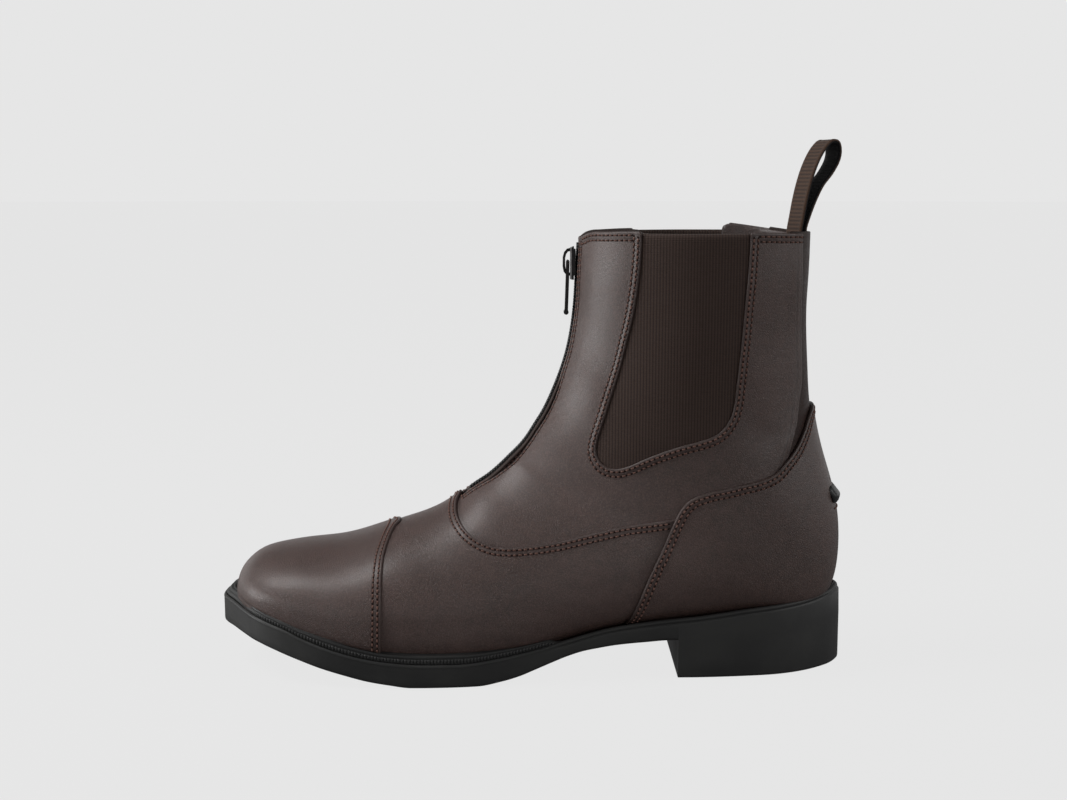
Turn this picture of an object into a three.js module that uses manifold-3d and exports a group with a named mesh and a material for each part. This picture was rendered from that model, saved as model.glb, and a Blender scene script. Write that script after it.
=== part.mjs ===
// A left ankle boot with a front zip, elastic side gussets, a toe cap, a heel counter and a heeled rubber sole.
// Millimetres. The toe points to -X, the heel to +X, the outer (lateral) side is -Y, and +Z is up.
import * as THREE from 'three';
import { mergeVertices } from 'three/addons/utils/BufferGeometryUtils.js';
import Module from 'manifold-3d';

const wasm = await Module();
wasm.setup();

// ---------------------------------------------------------------- driving dimensions
const GAP = 0.3; // clearance between pieces that meet
const WALL = 2.0; // quarter leather and lining together
const CAP_OUT = 2.3; // toe cap face above the upper's face
const VAMP_OUT = 1.4; // vamp face above the upper's face
const COUNTER_OUT = 1.5; // heel counter face above the upper's face
const SPUR_OUT = 4.6; // spur rest face above the upper's face
const GUSSET_SINK = 0.6; // elastic face below the upper's face
const GUSSET_THICK = 1.3; // elastic webbing
const ZIP_HALF = 3.7; // half width of the zip between the front edges
const TEETH_HALF = 2.4; // half width of the closed row of teeth
const TEETH_OUT = 0.7; // teeth above the upper's face
const SLIT_HALF = 4.0; // half width of the front opening
const COLLAR_Z = 195.4; // top of the gussets
const INSOLE_THICK = 2.7;
const LAST_MARGIN = 15.0; // how far the upper turns in under the foot, from the sole's rim
const BREAST_X = 64.0; // front face of the heel
const GROOVE_W = 2.4;
const GROOVE_D = 1.5;
const GROOVE_INSET = 9.0;
const LOOP_W = 13.0; // webbing of the pull loop
const LOOP_T = 1.4;
const LOOP_TURN = 11.0; // degrees that the loop is turned about the vertical
const RINGS = 28; // sections used along the boot
const SIDES = 26; // corners of each section

// ---------------------------------------------------------------- the last, a row for each section
// A section is a plane across the boot from its front or top point (tx, tz) to its bottom or back point (bx, bz).
// yc is its middle, wl and wm its half widths on the outer and inner side, m the place of its greatest width
// from the top (0) to the bottom (1), nT and nB the roundness of its top and bottom half.
const LAST = [
  // name      tx      tz      bx      bz    yc    wl    wm    m     nT    nB
  ['tip',   -133.7,  34.0, -133.7,  34.0,  4.5,  0.0,  0.0, 0.50, 2.00, 2.20],
  ['toe1',  -132.7,  40.2, -132.7,  27.0,  4.5, 13.0, 13.0, 0.50, 2.00, 2.20],
  ['toe2',  -129.6,  45.1, -129.6,  23.0,  4.5, 22.0, 21.5, 0.50, 2.00, 2.30],
  ['toe3',  -124.0,  49.6, -124.0,  20.3,  4.4, 30.2, 28.6, 0.51, 2.00, 2.50],
  ['toe4',  -115.5,  52.4, -115.5,  17.7,  4.2, 36.6, 34.2, 0.52, 2.05, 2.80],
  ['cap1',  -104.5,  54.3, -104.5,  14.6,  3.8, 41.0, 38.2, 0.54, 2.10, 3.10],
  ['cap2',   -91.5,  55.8,  -91.5,  11.0,  3.2, 44.0, 40.6, 0.56, 2.10, 3.40],
  ['cap3',   -77.0,  58.9,  -77.0,   7.7,  2.6, 46.0, 42.0, 0.58, 2.10, 3.70],
  ['ball',   -62.0,  63.7,  -62.0,   5.9,  2.0, 46.4, 42.0, 0.60, 2.05, 3.90],
  ['vamp1',  -48.9,  68.3,  -35.0,   5.2,  1.5, 45.8, 40.2, 0.62, 2.00, 3.90],
  ['vamp2',  -37.2,  74.6,   -5.0,   8.8,  1.2, 42.6, 36.6, 0.63, 1.95, 3.70],
  ['waist1', -28.6,  80.8,   24.0,  17.4,  0.9, 39.0, 34.4, 0.64, 1.92, 3.40],
  ['waist2', -21.2,  86.2,   54.5,  21.4,  0.6, 36.8, 33.6, 0.64, 1.90, 3.00],
  ['seat',   -15.6,  91.2,   90.0,  24.4,  0.3, 35.6, 34.0, 0.62, 1.90, 2.70],
  ['seat2',  -12.9,  94.0,  114.0,  26.3,  0.2, 35.3, 34.3, 0.60, 1.90, 2.55],
  ['heel1',  -10.4,  96.6,  131.6,  30.8,  0.1, 35.2, 34.6, 0.58, 1.90, 2.35],
  ['heel2',   -6.7, 100.6,  137.7,  50.5,  0.0, 35.4, 35.0, 0.55, 1.92, 2.20],
  ['heel3',   -3.0, 105.6,  136.4,  75.0,  0.0, 35.6, 35.4, 0.53, 1.95, 2.15],
  ['ankle1',   0.7, 111.4,  129.7,  97.6,  0.0, 36.0, 36.0, 0.52, 1.97, 2.15],
  ['ankle2',   4.9, 118.6,  125.4, 117.8,  0.0, 36.4, 36.4, 0.51, 2.00, 2.15],
  ['shaft1',  11.6, 134.0,  123.8, 134.0,  0.0, 37.4, 37.4, 0.50, 2.05, 2.20],
  ['shaft2',  15.8, 149.0,  122.8, 149.0,  0.0, 38.4, 38.4, 0.50, 2.10, 2.20],
  ['shaft3',  18.2, 164.0,  122.5, 164.0,  0.0, 39.2, 39.2, 0.50, 2.15, 2.25],
  ['shaft4',  19.3, 179.0,  123.0, 179.0,  0.0, 39.8, 39.8, 0.50, 2.20, 2.30],
  ['collar',  20.2, 195.5,  123.3, 195.5,  0.0, 40.2, 40.2, 0.50, 2.20, 2.30],
  ['above',   20.6, 208.0,  123.5, 208.0,  0.0, 40.2, 40.2, 0.50, 2.20, 2.30],
];

// ---------------------------------------------------------------- the sole's rim, a row for each station
const RIM = [
  // x       outer   inner
  [-143.0,  -4.0,  13.0],
  [-137.0, -13.6,  23.5],
  [-131.0, -22.3,  30.0],
  [-123.5, -31.3,  35.5],
  [-113.0, -37.6,  40.0],
  [-100.4, -42.2,  43.8],
  [-85.6,  -45.9,  46.2],
  [-71.2,  -47.7,  47.3],
  [-57.0,  -48.3,  47.2],
  [-43.0,  -48.1,  45.6],
  [-28.0,  -46.6,  42.8],
  [-14.0,  -43.4,  39.4],
  [0.0,    -39.8,  36.6],
  [15.0,   -37.1,  34.6],
  [33.7,   -34.7,  33.5],
  [52.0,   -33.4,  33.4],
  [73.0,   -33.0,  33.6],
  [91.8,   -31.2,  32.4],
  [108.0,  -28.4,  29.6],
  [119.8,  -23.6,  25.0],
  [129.0,  -17.3,  19.0],
  [136.5,   -9.6,  12.0],
];
const RIM_TIP = [-143.9, 4.5];
const RIM_HEEL = [141.2, 1.4];

// the side of the sole: underside, top of the rim and top of the welt along the boot
const UNDERSIDE = [
  // x      z
  [-145, 18.4], [-137, 17.9], [-130, 17.2], [-123, 16.2], [-115, 14.1], [-104, 10.8], [-93.5, 7.7],
  [-82, 4.9], [-72, 2.6], [-63, 1.2], [-53, 0.0], [-24, 0.0], [-13, 1.5], [-6, 3.1], [1, 5.6], [8, 8.3],
  [15, 10.9], [22, 12.9], [29, 14.1], [36, 15.1], [43.5, 15.8], [50.5, 16.3], [57.6, 16.9], [64, 17.2],
];
const RIM_TOP = [
  [-145, 31.2], [-137, 30.0], [-131, 28.9], [-124, 27.6], [-117.5, 25.9], [-108.6, 23.4], [-100.4, 20.1],
  [-85.6, 15.6], [-71.2, 12.5], [-63.8, 11.5], [-49.5, 10.5], [-33.1, 10.4], [-16.3, 11.9], [0.2, 14.6],
  [14.3, 18.4], [25, 21.2], [33.7, 23.2], [46, 25.0], [59.3, 26.6], [73.4, 28.0], [95.6, 30.8], [118.7, 32.9],
  [131.9, 34.4], [143, 36.0],
];
const WELT_TOP = [
  [-145, 34.8], [-136, 34.4], [-132, 33.4], [-126, 31.8], [-116.3, 28.6], [-103.3, 24.2], [-86.1, 19.6],
  [-71.5, 16.3], [-64.1, 15.1], [-49.8, 14.4], [-28.2, 14.5], [-8.2, 16.2], [13.4, 20.0],
];
const WELT_END_X = 13.4;
const WELT_INSET = 0.9;

// ---------------------------------------------------------------- lines of the upper, seen from the side
const CAP_LINE = [
  // x      z
  [-61.8, 80.0], [-62.0, 64.5], [-64.4, 62.0], [-65.4, 56.0], [-65.8, 48.0], [-65.9, 30.0], [-66.6, 0.0],
];
const THROAT_LINE = [
  [-31.5, 84.0], [-33.2, 78.5], [-34.6, 74.9], [-33.8, 70.4], [-30.5, 65.6], [-25.8, 62.1], [-19.0, 59.5],
  [-11.4, 58.8], [-0.2, 59.6], [11.2, 61.3], [22.5, 64.0], [37.4, 67.5], [52.5, 70.4],
];
const COUNTER_LINE = [
  [30.5, 0.0], [41.8, 25.4], [45.2, 33.4], [50.9, 47.2], [56.9, 60.0], [61.4, 70.7], [63.7, 75.6],
  [67.9, 80.6], [76.1, 84.1], [84.4, 85.8], [91.4, 87.4], [98.5, 88.9], [105.3, 91.6], [110.0, 96.0],
  [114.8, 101.6], [119.0, 108.9], [123.0, 116.6], [134.0, 126.0],
];
const GUSSET_LINE = [
  [46.1, 215.0], [46.1, 195.8], [45.8, 185.7], [44.7, 173.4], [42.9, 160.9], [40.2, 148.7], [37.0, 136.0],
  [33.0, 122.4], [30.2, 113.0], [27.8, 105.5], [27.2, 101.0], [28.6, 96.8], [32.1, 93.9], [36.6, 93.4],
  [41.9, 95.0], [48.7, 98.4], [55.5, 101.4], [64.5, 104.6], [73.1, 107.0], [78.5, 109.1], [82.2, 112.1],
  [85.2, 116.8], [86.8, 123.0], [87.6, 131.3], [88.5, 140.9], [89.5, 153.0], [90.3, 165.4], [91.2, 177.7],
  [91.8, 189.6], [91.9, 195.5], [91.9, 215.0],
];
const COLLAR_LINE = [
  [10.0, 192.6], [19.6, 192.6], [20.6, 194.0], [22.4, 195.2], [25.0, 196.0], [30.0, 196.4], [46.1, 196.7],
  [60.0, 195.9], [92.0, 196.3], [110.0, 195.9], [121.5, 195.5], [130.0, 194.6],
];

// ---------------------------------------------------------------- curves through the tables
function naturalSpline(ys) {
  const n = ys.length;
  const a = new Array(n).fill(0);
  const b = new Array(n).fill(0);
  const m = new Array(n).fill(0);
  for (let i = 1; i < n - 1; i++) {
    const r = 6 * (ys[i - 1] - 2 * ys[i] + ys[i + 1]);
    const d = 4 - a[i - 1];
    a[i] = 1 / d;
    b[i] = (r - b[i - 1]) / d;
  }
  for (let i = n - 2; i > 0; i--) m[i] = b[i] - a[i] * m[i + 1];
  return (u) => {
    const i = Math.min(Math.max(Math.floor(u), 0), n - 2);
    const t = u - i;
    const s = 1 - t;
    return s * ys[i] + t * ys[i + 1] + ((s ** 3 - s) * m[i] + (t ** 3 - t) * m[i + 1]) / 6;
  };
}

// a curve z(x) through rows [x, z] that never overshoots them
function alongX(rows) {
  const n = rows.length;
  const d = [];
  for (let i = 0; i < n - 1; i++) d.push((rows[i + 1][1] - rows[i][1]) / (rows[i + 1][0] - rows[i][0]));
  const m = [d[0]];
  for (let i = 1; i < n - 1; i++) m.push(d[i - 1] * d[i] <= 0 ? 0 : (2 * d[i - 1] * d[i]) / (d[i - 1] + d[i]));
  m.push(d[n - 2]);
  return (x) => {
    let i = 0;
    while (i < n - 2 && x > rows[i + 1][0]) i++;
    const h = rows[i + 1][0] - rows[i][0];
    const t = (x - rows[i][0]) / h;
    const t2 = t * t;
    const t3 = t2 * t;
    return (2 * t3 - 3 * t2 + 1) * rows[i][1] + (t3 - 2 * t2 + t) * h * m[i]
      + (3 * t2 - 2 * t3) * rows[i + 1][1] + (t3 - t2) * h * m[i + 1];
  };
}

const COLUMN = LAST[0].slice(1).map((_, k) => naturalSpline(LAST.map((row) => row[k + 1])));
const TOP_ROW = LAST.length - 1;

// the last's surface: u is the row, v runs round the section, 0 at its top or front and 1 or -1 at its bottom or back
function surface(u, v) {
  const [tx, tz, bx, bz, yc, wl, wm, m, nT, nB] = COLUMN.map((f) => f(u));
  let w = v;
  if (w > 1) w -= 2;
  if (w < -1) w += 2;
  const th = Math.abs(w) * Math.PI;
  const c = Math.cos(th);
  const n = c >= 0 ? nT : nB;
  const cc = Math.abs(c) ** (2 / n);
  const ss = Math.max(Math.sin(th), 0) ** (2 / n);
  const s = c >= 0 ? m * (1 - cc) : m + (1 - m) * cc;
  const half = w < 0 ? -wl : wm;
  return new THREE.Vector3(tx + s * (bx - tx), yc + half * ss, tz + s * (bz - tz));
}

function normalAt(u, v) {
  if (u < 1e-6) return new THREE.Vector3(-1, 0, 0);
  const e = 2e-3;
  const du = surface(Math.min(u + e, TOP_ROW), v).sub(surface(Math.max(u - e, 0), v));
  const dv = surface(u, v + e).sub(surface(u, v - e));
  return du.cross(dv).normalize();
}

// ---------------------------------------------------------------- solids
function solidOf(geometry) {
  const g = geometry.clone();
  for (const name of Object.keys(g.attributes)) if (name !== 'position') g.deleteAttribute(name);
  const merged = mergeVertices(g, 1e-4);
  return new wasm.Manifold(new wasm.Mesh({
    numProp: 3,
    vertProperties: new Float32Array(merged.attributes.position.array),
    triVerts: new Uint32Array(merged.index.array),
  }));
}

function geometryOf(solid) {
  const mesh = solid.getMesh();
  const g = new THREE.BufferGeometry();
  g.setAttribute('position', new THREE.BufferAttribute(new Float32Array(mesh.vertProperties), 3));
  g.setIndex(new THREE.BufferAttribute(new Uint32Array(mesh.triVerts), 1));
  g.computeVertexNormals();
  return g;
}

// the closed body that lies `off` outside the last's surface, up to `top` above the last row
function grown(off, top = 0) {
  const us = [];
  for (let i = 1; i <= RINGS; i++) us.push(TOP_ROW * (i / RINGS) ** 1.2);
  const position = [];
  const index = [];
  const tip = surface(0, 0).addScaledVector(normalAt(0, 0), off);
  position.push(tip.x, tip.y, tip.z);
  for (const u of us) {
    for (let j = 0; j < SIDES; j++) {
      const v = -1 + (2 * j) / SIDES;
      const p = surface(u, v).addScaledVector(normalAt(u, v), off);
      position.push(p.x, p.y, u === TOP_ROW ? 208 + top : p.z);
    }
  }
  const at = (i, j) => 1 + i * SIDES + ((j + SIDES) % SIDES);
  for (let j = 0; j < SIDES; j++) index.push(0, at(0, j), at(0, j + 1));
  for (let i = 0; i < RINGS - 1; i++) {
    for (let j = 0; j < SIDES; j++) {
      index.push(at(i, j), at(i + 1, j), at(i + 1, j + 1), at(i, j), at(i + 1, j + 1), at(i, j + 1));
    }
  }
  const centre = position.length / 3;
  position.push(70, 0, 208 + top);
  for (let j = 0; j < SIDES; j++) index.push(centre, at(RINGS - 1, j + 1), at(RINGS - 1, j));
  const g = new THREE.BufferGeometry();
  g.setAttribute('position', new THREE.Float32BufferAttribute(position, 3));
  g.setIndex(index);
  let body = solidOf(g);
  if (body.volume() < 0) {
    for (let k = 0; k < index.length; k += 3) [index[k], index[k + 1]] = [index[k + 1], index[k]];
    g.setIndex(index);
    body = solidOf(g);
  }
  return body;
}

function shapeOf(points, holes = []) {
  const shape = new THREE.Shape(points.map(([a, b]) => new THREE.Vector2(a, b)));
  for (const h of holes) shape.holes.push(new THREE.Path(h.map(([a, b]) => new THREE.Vector2(a, b))));
  return shape;
}

// an outline in X and Z, carried from y0 to y1
function acrossBoot(points, y0, y1, holes = []) {
  const g = new THREE.ExtrudeGeometry(shapeOf(points, holes), { depth: y1 - y0, bevelEnabled: false, steps: 1 });
  g.rotateX(Math.PI / 2);
  g.translate(0, y1, 0);
  return solidOf(g);
}

// an outline in X and Y, carried from z0 to z1
function upward(points, z0, z1) {
  const g = new THREE.ExtrudeGeometry(shapeOf(points), { depth: z1 - z0, bevelEnabled: false, steps: 1 });
  g.translate(0, 0, z0);
  return solidOf(g);
}

function boxAt(x0, x1, y0, y1, z0, z1) {
  const g = new THREE.BoxGeometry(x1 - x0, y1 - y0, z1 - z0);
  g.translate((x0 + x1) / 2, (y0 + y1) / 2, (z0 + z1) / 2);
  return solidOf(g);
}

// the closed outline moved inwards by d (outwards where d is negative)
function inset(points, d) {
  const n = points.length;
  let area = 0;
  for (let i = 0; i < n; i++) {
    const [ax, ay] = points[i];
    const [bx, by] = points[(i + 1) % n];
    area += ax * by - bx * ay;
  }
  const turn = area > 0 ? 1 : -1;
  return points.map((p, i) => {
    const a = points[(i + n - 1) % n];
    const b = points[(i + 1) % n];
    const e1 = new THREE.Vector2(p[0] - a[0], p[1] - a[1]).normalize();
    const e2 = new THREE.Vector2(b[0] - p[0], b[1] - p[1]).normalize();
    const n1 = new THREE.Vector2(-e1.y, e1.x);
    const n2 = new THREE.Vector2(-e2.y, e2.x);
    const bis = n1.clone().add(n2).normalize();
    const k = (turn * d) / Math.max(bis.dot(n1), 0.4);
    return [p[0] + bis.x * k, p[1] + bis.y * k];
  }).filter(([x, y]) => points.every(([ax, ay], i) => {
    // a corner that has crossed over another side of the outline is dropped
    const [bx, by] = points[(i + 1) % n];
    const t = Math.min(Math.max(((x - ax) * (bx - ax) + (y - ay) * (by - ay)) / ((bx - ax) ** 2 + (by - ay) ** 2), 0), 1);
    return Math.hypot(ax + t * (bx - ax) - x, ay + t * (by - ay) - y) > Math.abs(d) * 0.995;
  }));
}

// ---------------------------------------------------------------- the sole's outline and side lines
const rimCurve = new THREE.CatmullRomCurve3([
  new THREE.Vector3(...RIM_TIP, 0),
  ...RIM.map(([x, lat]) => new THREE.Vector3(x, lat, 0)),
  new THREE.Vector3(...RIM_HEEL, 0),
  ...[...RIM].reverse().map(([x, , med]) => new THREE.Vector3(x, med, 0)),
], true, 'centripetal');
const rim = rimCurve.getSpacedPoints(76).slice(0, 76).map((p) => [p.x, p.y]);

const underside = alongX(UNDERSIDE);
const rimTop = alongX(RIM_TOP);
const weltTop = alongX(WELT_TOP);

// stations along x between a and b, close together where the boot curves
function stations(a, b, step) {
  const n = Math.max(2, Math.round((b - a) / step));
  const out = [];
  for (let i = 0; i <= n; i++) out.push(a + ((b - a) * i) / n);
  return out;
}

// the stations that the rim, the welt and the upper's overlays share
const SIDE_XS = stations(-145, 143, 7.2);

// the part of space between two side lines
function between(low, high, xs, y = 70) {
  const outline = [...xs.map((x) => [x, low(x)]), ...[...xs].reverse().map((x) => [x, high(x)])];
  return acrossBoot(outline, -y, y);
}

// the lowest line of the last along x, for the insole and the opening below it
const keel = alongX(LAST.slice(1, 16).map((row) => [row[3], row[4]]));

// ---------------------------------------------------------------- bodies made once
const face = grown(0);
const clear = grown(GAP);
const inner = grown(-WALL, 4);
const capBody = grown(CAP_OUT);
const vampBody = grown(VAMP_OUT);
const counterBody = grown(COUNTER_OUT);

const underCollar = acrossBoot([[-200, -50], [200, -50], [200, 194.6], ...[...COLLAR_LINE].reverse(), [-200, 192.6]], -80, 80);

// the front strip that the zip runs in, from the throat to the collar
function frontBand(u0, u1, out, into, half) {
  const outer = [];
  const back = [];
  for (let i = 0; i <= 22; i++) {
    const u = u0 + ((u1 - u0) * i) / 22;
    const p = surface(u, 0);
    const n = normalAt(u, 0);
    outer.push([p.x + n.x * out, p.z + n.z * out]);
    back.push([p.x - n.x * into, p.z - n.z * into]);
  }
  return acrossBoot([...outer, ...back.reverse()], -half, half);
}

// ---------------------------------------------------------------- upper: one hollow wall
const soleHole = upward(inset(rim, LAST_MARGIN), -40, 70)
  .intersect(between(() => -30, (x) => keel(x) + WALL + 1.6, stations(-132, 133, 6)));
let upper = face.subtract(inner).intersect(underCollar).subtract(soleHole);
upper = upper.subtract(acrossBoot(GUSSET_LINE, -70, 70));
upper = upper.subtract(frontBand(10.55, TOP_ROW, 6, 9, SLIT_HALF));

// ---------------------------------------------------------------- insole: lies on the turned-in edge of the upper
const insole = grown(-WALL - GAP)
  .intersect(between(() => -20, (x) => keel(x) + WALL + GAP + INSOLE_THICK, stations(-134, 136, 7)));

// ---------------------------------------------------------------- outsole with heel and grooves
const soleXs = [
  ...stations(-145, -53, 5.5), ...stations(-24, BREAST_X, 5.5),
];
let outsole = upward(rim, -5, 60)
  .intersect(acrossBoot([
    ...soleXs.map((x) => [x, underside(x)]),
    [BREAST_X, 0], [150, 0],
    [150, rimTop(143)],
    ...[...SIDE_XS].reverse().map((x) => [x, rimTop(x)]),
  ], -70, 70))
  .subtract(clear);
const treadArea = upward(inset(rim, GROOVE_INSET), -10, 40);
const forefootTread = between(() => -10, (x) => underside(x) + GROOVE_D, stations(-132, 2, 5));
for (let i = 0; i < 14; i++) {
  const x = -123.5 + i * 9;
  outsole = outsole.subtract(boxAt(x, x + GROOVE_W, -60, 60, -8, 30).intersect(treadArea).intersect(forefootTread));
}
for (let i = 0; i < 5; i++) {
  const x = 76 + i * 10.5;
  outsole = outsole.subtract(boxAt(x, x + GROOVE_W, -60, 60, -8, GROOVE_D).intersect(treadArea));
}

// ---------------------------------------------------------------- welt: the band round the forefoot
const weltXs = SIDE_XS.filter((x) => x < WELT_END_X + 0.1);
const welt = upward(inset(rim, WELT_INSET), 0, 60)
  .intersect(between((x) => rimTop(x) + GAP, (x) => weltTop(x), weltXs))
  .subtract(clear);

// ---------------------------------------------------------------- overlays: cut between two bodies of the same last
const aboveFeather = (x) => (x < WELT_END_X + 0.1 ? weltTop(x) : rimTop(x)) + GAP;
const upperSide = between(aboveFeather, () => 150, SIDE_XS, 80);
const closeFront = [[-170, 0], [-170, 90]];
const toeCap = capBody.subtract(clear).intersect(upperSide)
  .intersect(acrossBoot([...closeFront, ...CAP_LINE], -80, 80));
const vampOutline = [
  ...CAP_LINE.map(([x, z]) => [x + GAP, z]),
  ...COUNTER_LINE.slice(0, 6).map(([x, z]) => [x - GAP, z]),
  ...[...THROAT_LINE].reverse(),
];
const vamp = vampBody.subtract(clear).intersect(upperSide).intersect(acrossBoot(vampOutline, -80, 80));
const heelCounter = counterBody.subtract(clear).intersect(upperSide)
  .intersect(acrossBoot([...COUNTER_LINE, [170, 126], [170, 0]], -80, 80));

// ---------------------------------------------------------------- spur rest: a small ledge across the back
const spurRest = grown(SPUR_OUT).subtract(grown(COUNTER_OUT + GAP))
  .intersect(acrossBoot([[115, 70], [133, 73.2], [145, 76.5], [145, 77.5], [133, 85], [115, 88]], -13.5, 13.5))
  .intersect(upward([[110, -13.5], [135, -13.5], [141.5, -9.5], [142.5, -4], [142.5, 4], [141.5, 9.5], [135, 13.5], [110, 13.5]], 60, 100));

// ---------------------------------------------------------------- gussets: elastic panels in the side windows
const gussetBand = grown(-GUSSET_SINK).subtract(grown(-GUSSET_SINK - GUSSET_THICK));
const gussetOutline = inset(GUSSET_LINE, GAP);
function gusset(y0, y1) {
  return gussetBand.intersect(acrossBoot(gussetOutline, y0, y1)).intersect(boxAt(0, 120, -80, 80, 60, COLLAR_Z));
}

// ---------------------------------------------------------------- zip: tape with the closed row of teeth on it
const zipTop = acrossBoot([[-100, 0], [100, 0], [100, 192.3], [-100, 192.3]], -20, 20);
const tapeBack = grown(-1.6);
const tape = grown(-0.2).subtract(tapeBack).intersect(frontBand(10.8, TOP_ROW, 5, 6, ZIP_HALF));
const teeth = grown(TEETH_OUT).subtract(tapeBack).intersect(frontBand(10.8, TOP_ROW, 5, 6, TEETH_HALF));
const frontZip = tape.add(teeth).intersect(zipTop);

// slider: a plate over the teeth, two cheeks beside them and a bridge that the pull hangs from
const PLATE_FRONT = 16.4;
const PLATE_BACK = 18.05;
const sliderPlate = upward([[PLATE_FRONT, -3.2], [PLATE_FRONT + 0.6, -3.9], [PLATE_BACK, -3.9], [PLATE_BACK, 3.9], [PLATE_FRONT + 0.6, 3.9], [PLATE_FRONT, 3.2]], 174.6, 189.4)
  .intersect(acrossBoot([[10, 176.4], [17.3, 174.6], [25, 174.6], [25, 189.4], [18, 189.4], [10, 186]], -10, 10));
const cheek = (y0, y1) => boxAt(PLATE_BACK - 0.2, 18.75, y0, y1, 176.4, 188.2);
const bridge = acrossBoot(
  [[17.2, 188.8], [15.0, 188.3], [13.7, 186.8], [13.1, 184.6], [13.05, 180.4], [13.5, 178.0], [14.7, 176.6], [17.2, 176.0]],
  -1.1, 1.1,
  [[[16.5, 187.2], [15.4, 187.0], [14.6, 185.9], [14.2, 184.2], [14.2, 180.8], [14.5, 179.0], [15.3, 177.9], [16.5, 177.5]]],
);
const zipSlider = sliderPlate.add(cheek(-3.9, -2.9)).add(cheek(2.9, 3.9)).add(bridge);

// pull: a bar through the bridge, two arms beside it and a flat tab with a thick end
const PULL_AXIS = [15.35, 0, 182.6];
const PULL_BAR_R = 0.75;
function pullSolid() {
  const bar = new THREE.CylinderGeometry(PULL_BAR_R, PULL_BAR_R, 5.8, 12);
  bar.translate(PULL_AXIS[0], 0, PULL_AXIS[2]);
  const side = [[14.6, 182.6], [14.45, 175.2], [13.95, 160.0], [15.45, 160.0], [15.95, 175.2], [16.1, 182.6]];
  const whole = acrossBoot(side, -2.9, 2.9);
  const hollow = boxAt(10, 20, -1.5, 1.5, 175.2, 190);
  const end = new THREE.CylinderGeometry(1.15, 1.15, 5.8, 12);
  end.translate(14.65, 0, 160.0);
  return whole.subtract(hollow).add(solidOf(bar)).add(solidOf(end));
}

// ---------------------------------------------------------------- pull loop: a band of webbing, doubled inside the collar
const LOOP_PATH = [
  // x      z
  [116.3, 184.0], [116.4, 196.0], [117.2, 203.0], [118.2, 210.0], [119.8, 217.0], [121.9, 223.4],
  [124.8, 229.4], [128.0, 233.6], [131.4, 235.9], [134.6, 235.6], [136.3, 232.6], [136.0, 228.0],
  [133.6, 222.4], [130.2, 216.6], [126.6, 210.2], [123.0, 203.4], [119.4, 197.6], [118.0, 194.0],
];
function pullLoop() {
  const curve = new THREE.CatmullRomCurve3(LOOP_PATH.map(([x, z]) => new THREE.Vector3(x, z, 0)), false, 'centripetal');
  const pts = curve.getSpacedPoints(44);
  const outer = [];
  const innerSide = [];
  pts.forEach((p, i) => {
    const a = pts[Math.max(i - 1, 0)];
    const b = pts[Math.min(i + 1, pts.length - 1)];
    const t = new THREE.Vector2(b.x - a.x, b.y - a.y).normalize();
    outer.push([p.x - (t.y * LOOP_T) / 2, p.y + (t.x * LOOP_T) / 2]);
    innerSide.push([p.x + (t.y * LOOP_T) / 2, p.y - (t.x * LOOP_T) / 2]);
  });
  const g = acrossBoot([...outer, ...innerSide.reverse()], -LOOP_W / 2, LOOP_W / 2);
  const foot = acrossBoot([[115.6, 184.0], [118.7, 184.0], [118.7, 194.6], [115.6, 194.6]], -LOOP_W / 2, LOOP_W / 2);
  const geometry = geometryOf(g.add(foot));
  geometry.translate(-117.2, 0, 0);
  geometry.rotateZ(THREE.MathUtils.degToRad(LOOP_TURN));
  geometry.translate(117.2, 0, 0);
  return solidOf(geometry);
}

// ---------------------------------------------------------------- the scene graph
const leather = () => new THREE.MeshStandardMaterial({ color: 0x3b302e, roughness: 0.5, metalness: 0.0 });
const rubber = () => new THREE.MeshStandardMaterial({ color: 0x1d1d1d, roughness: 0.6, metalness: 0.0 });
const elastic = () => new THREE.MeshStandardMaterial({ color: 0x2c211d, roughness: 0.95, metalness: 0.0 });
const lining = () => new THREE.MeshStandardMaterial({ color: 0x2a2220, roughness: 0.9, metalness: 0.0 });
const metal = () => new THREE.MeshStandardMaterial({ color: 0x141414, roughness: 0.35, metalness: 0.8 });
const webbing = () => new THREE.MeshStandardMaterial({ color: 0x4a3728, roughness: 0.95, metalness: 0.0 });

const pieces = [
  ['outsole', outsole, rubber()],
  ['welt', welt, rubber()],
  ['insole', insole, lining()],
  ['upper', upper, leather()],
  ['toe_cap', toeCap, leather()],
  ['vamp', vamp, leather()],
  ['heel_counter', heelCounter, leather()],
  ['spur_rest', spurRest, rubber()],
  ['gusset_lateral', gusset(-80, 0), elastic()],
  ['gusset_medial', gusset(0, 80), elastic()],
  ['front_zip', frontZip, elastic()],
  ['zip_slider', zipSlider, metal()],
  ['zip_pull', pullSolid(), metal()],
  ['pull_loop', pullLoop(), webbing()],
];

const boot = new THREE.Group();
boot.name = 'boot';
for (const [name, solid, material] of pieces) {
  const mesh = new THREE.Mesh(geometryOf(solid), material);
  mesh.name = name;
  boot.add(mesh);
}

// the origin is the middle of the bounding box, on the ground
const bounds = new THREE.Box3().setFromObject(boot);
boot.position.set(-(bounds.min.x + bounds.max.x) / 2, -(bounds.min.y + bounds.max.y) / 2, -bounds.min.z);
boot.updateMatrixWorld(true);

export default boot;
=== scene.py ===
import math

import bmesh
import bpy
import numpy as np
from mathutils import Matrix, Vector
from mathutils.kdtree import KDTree


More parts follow.
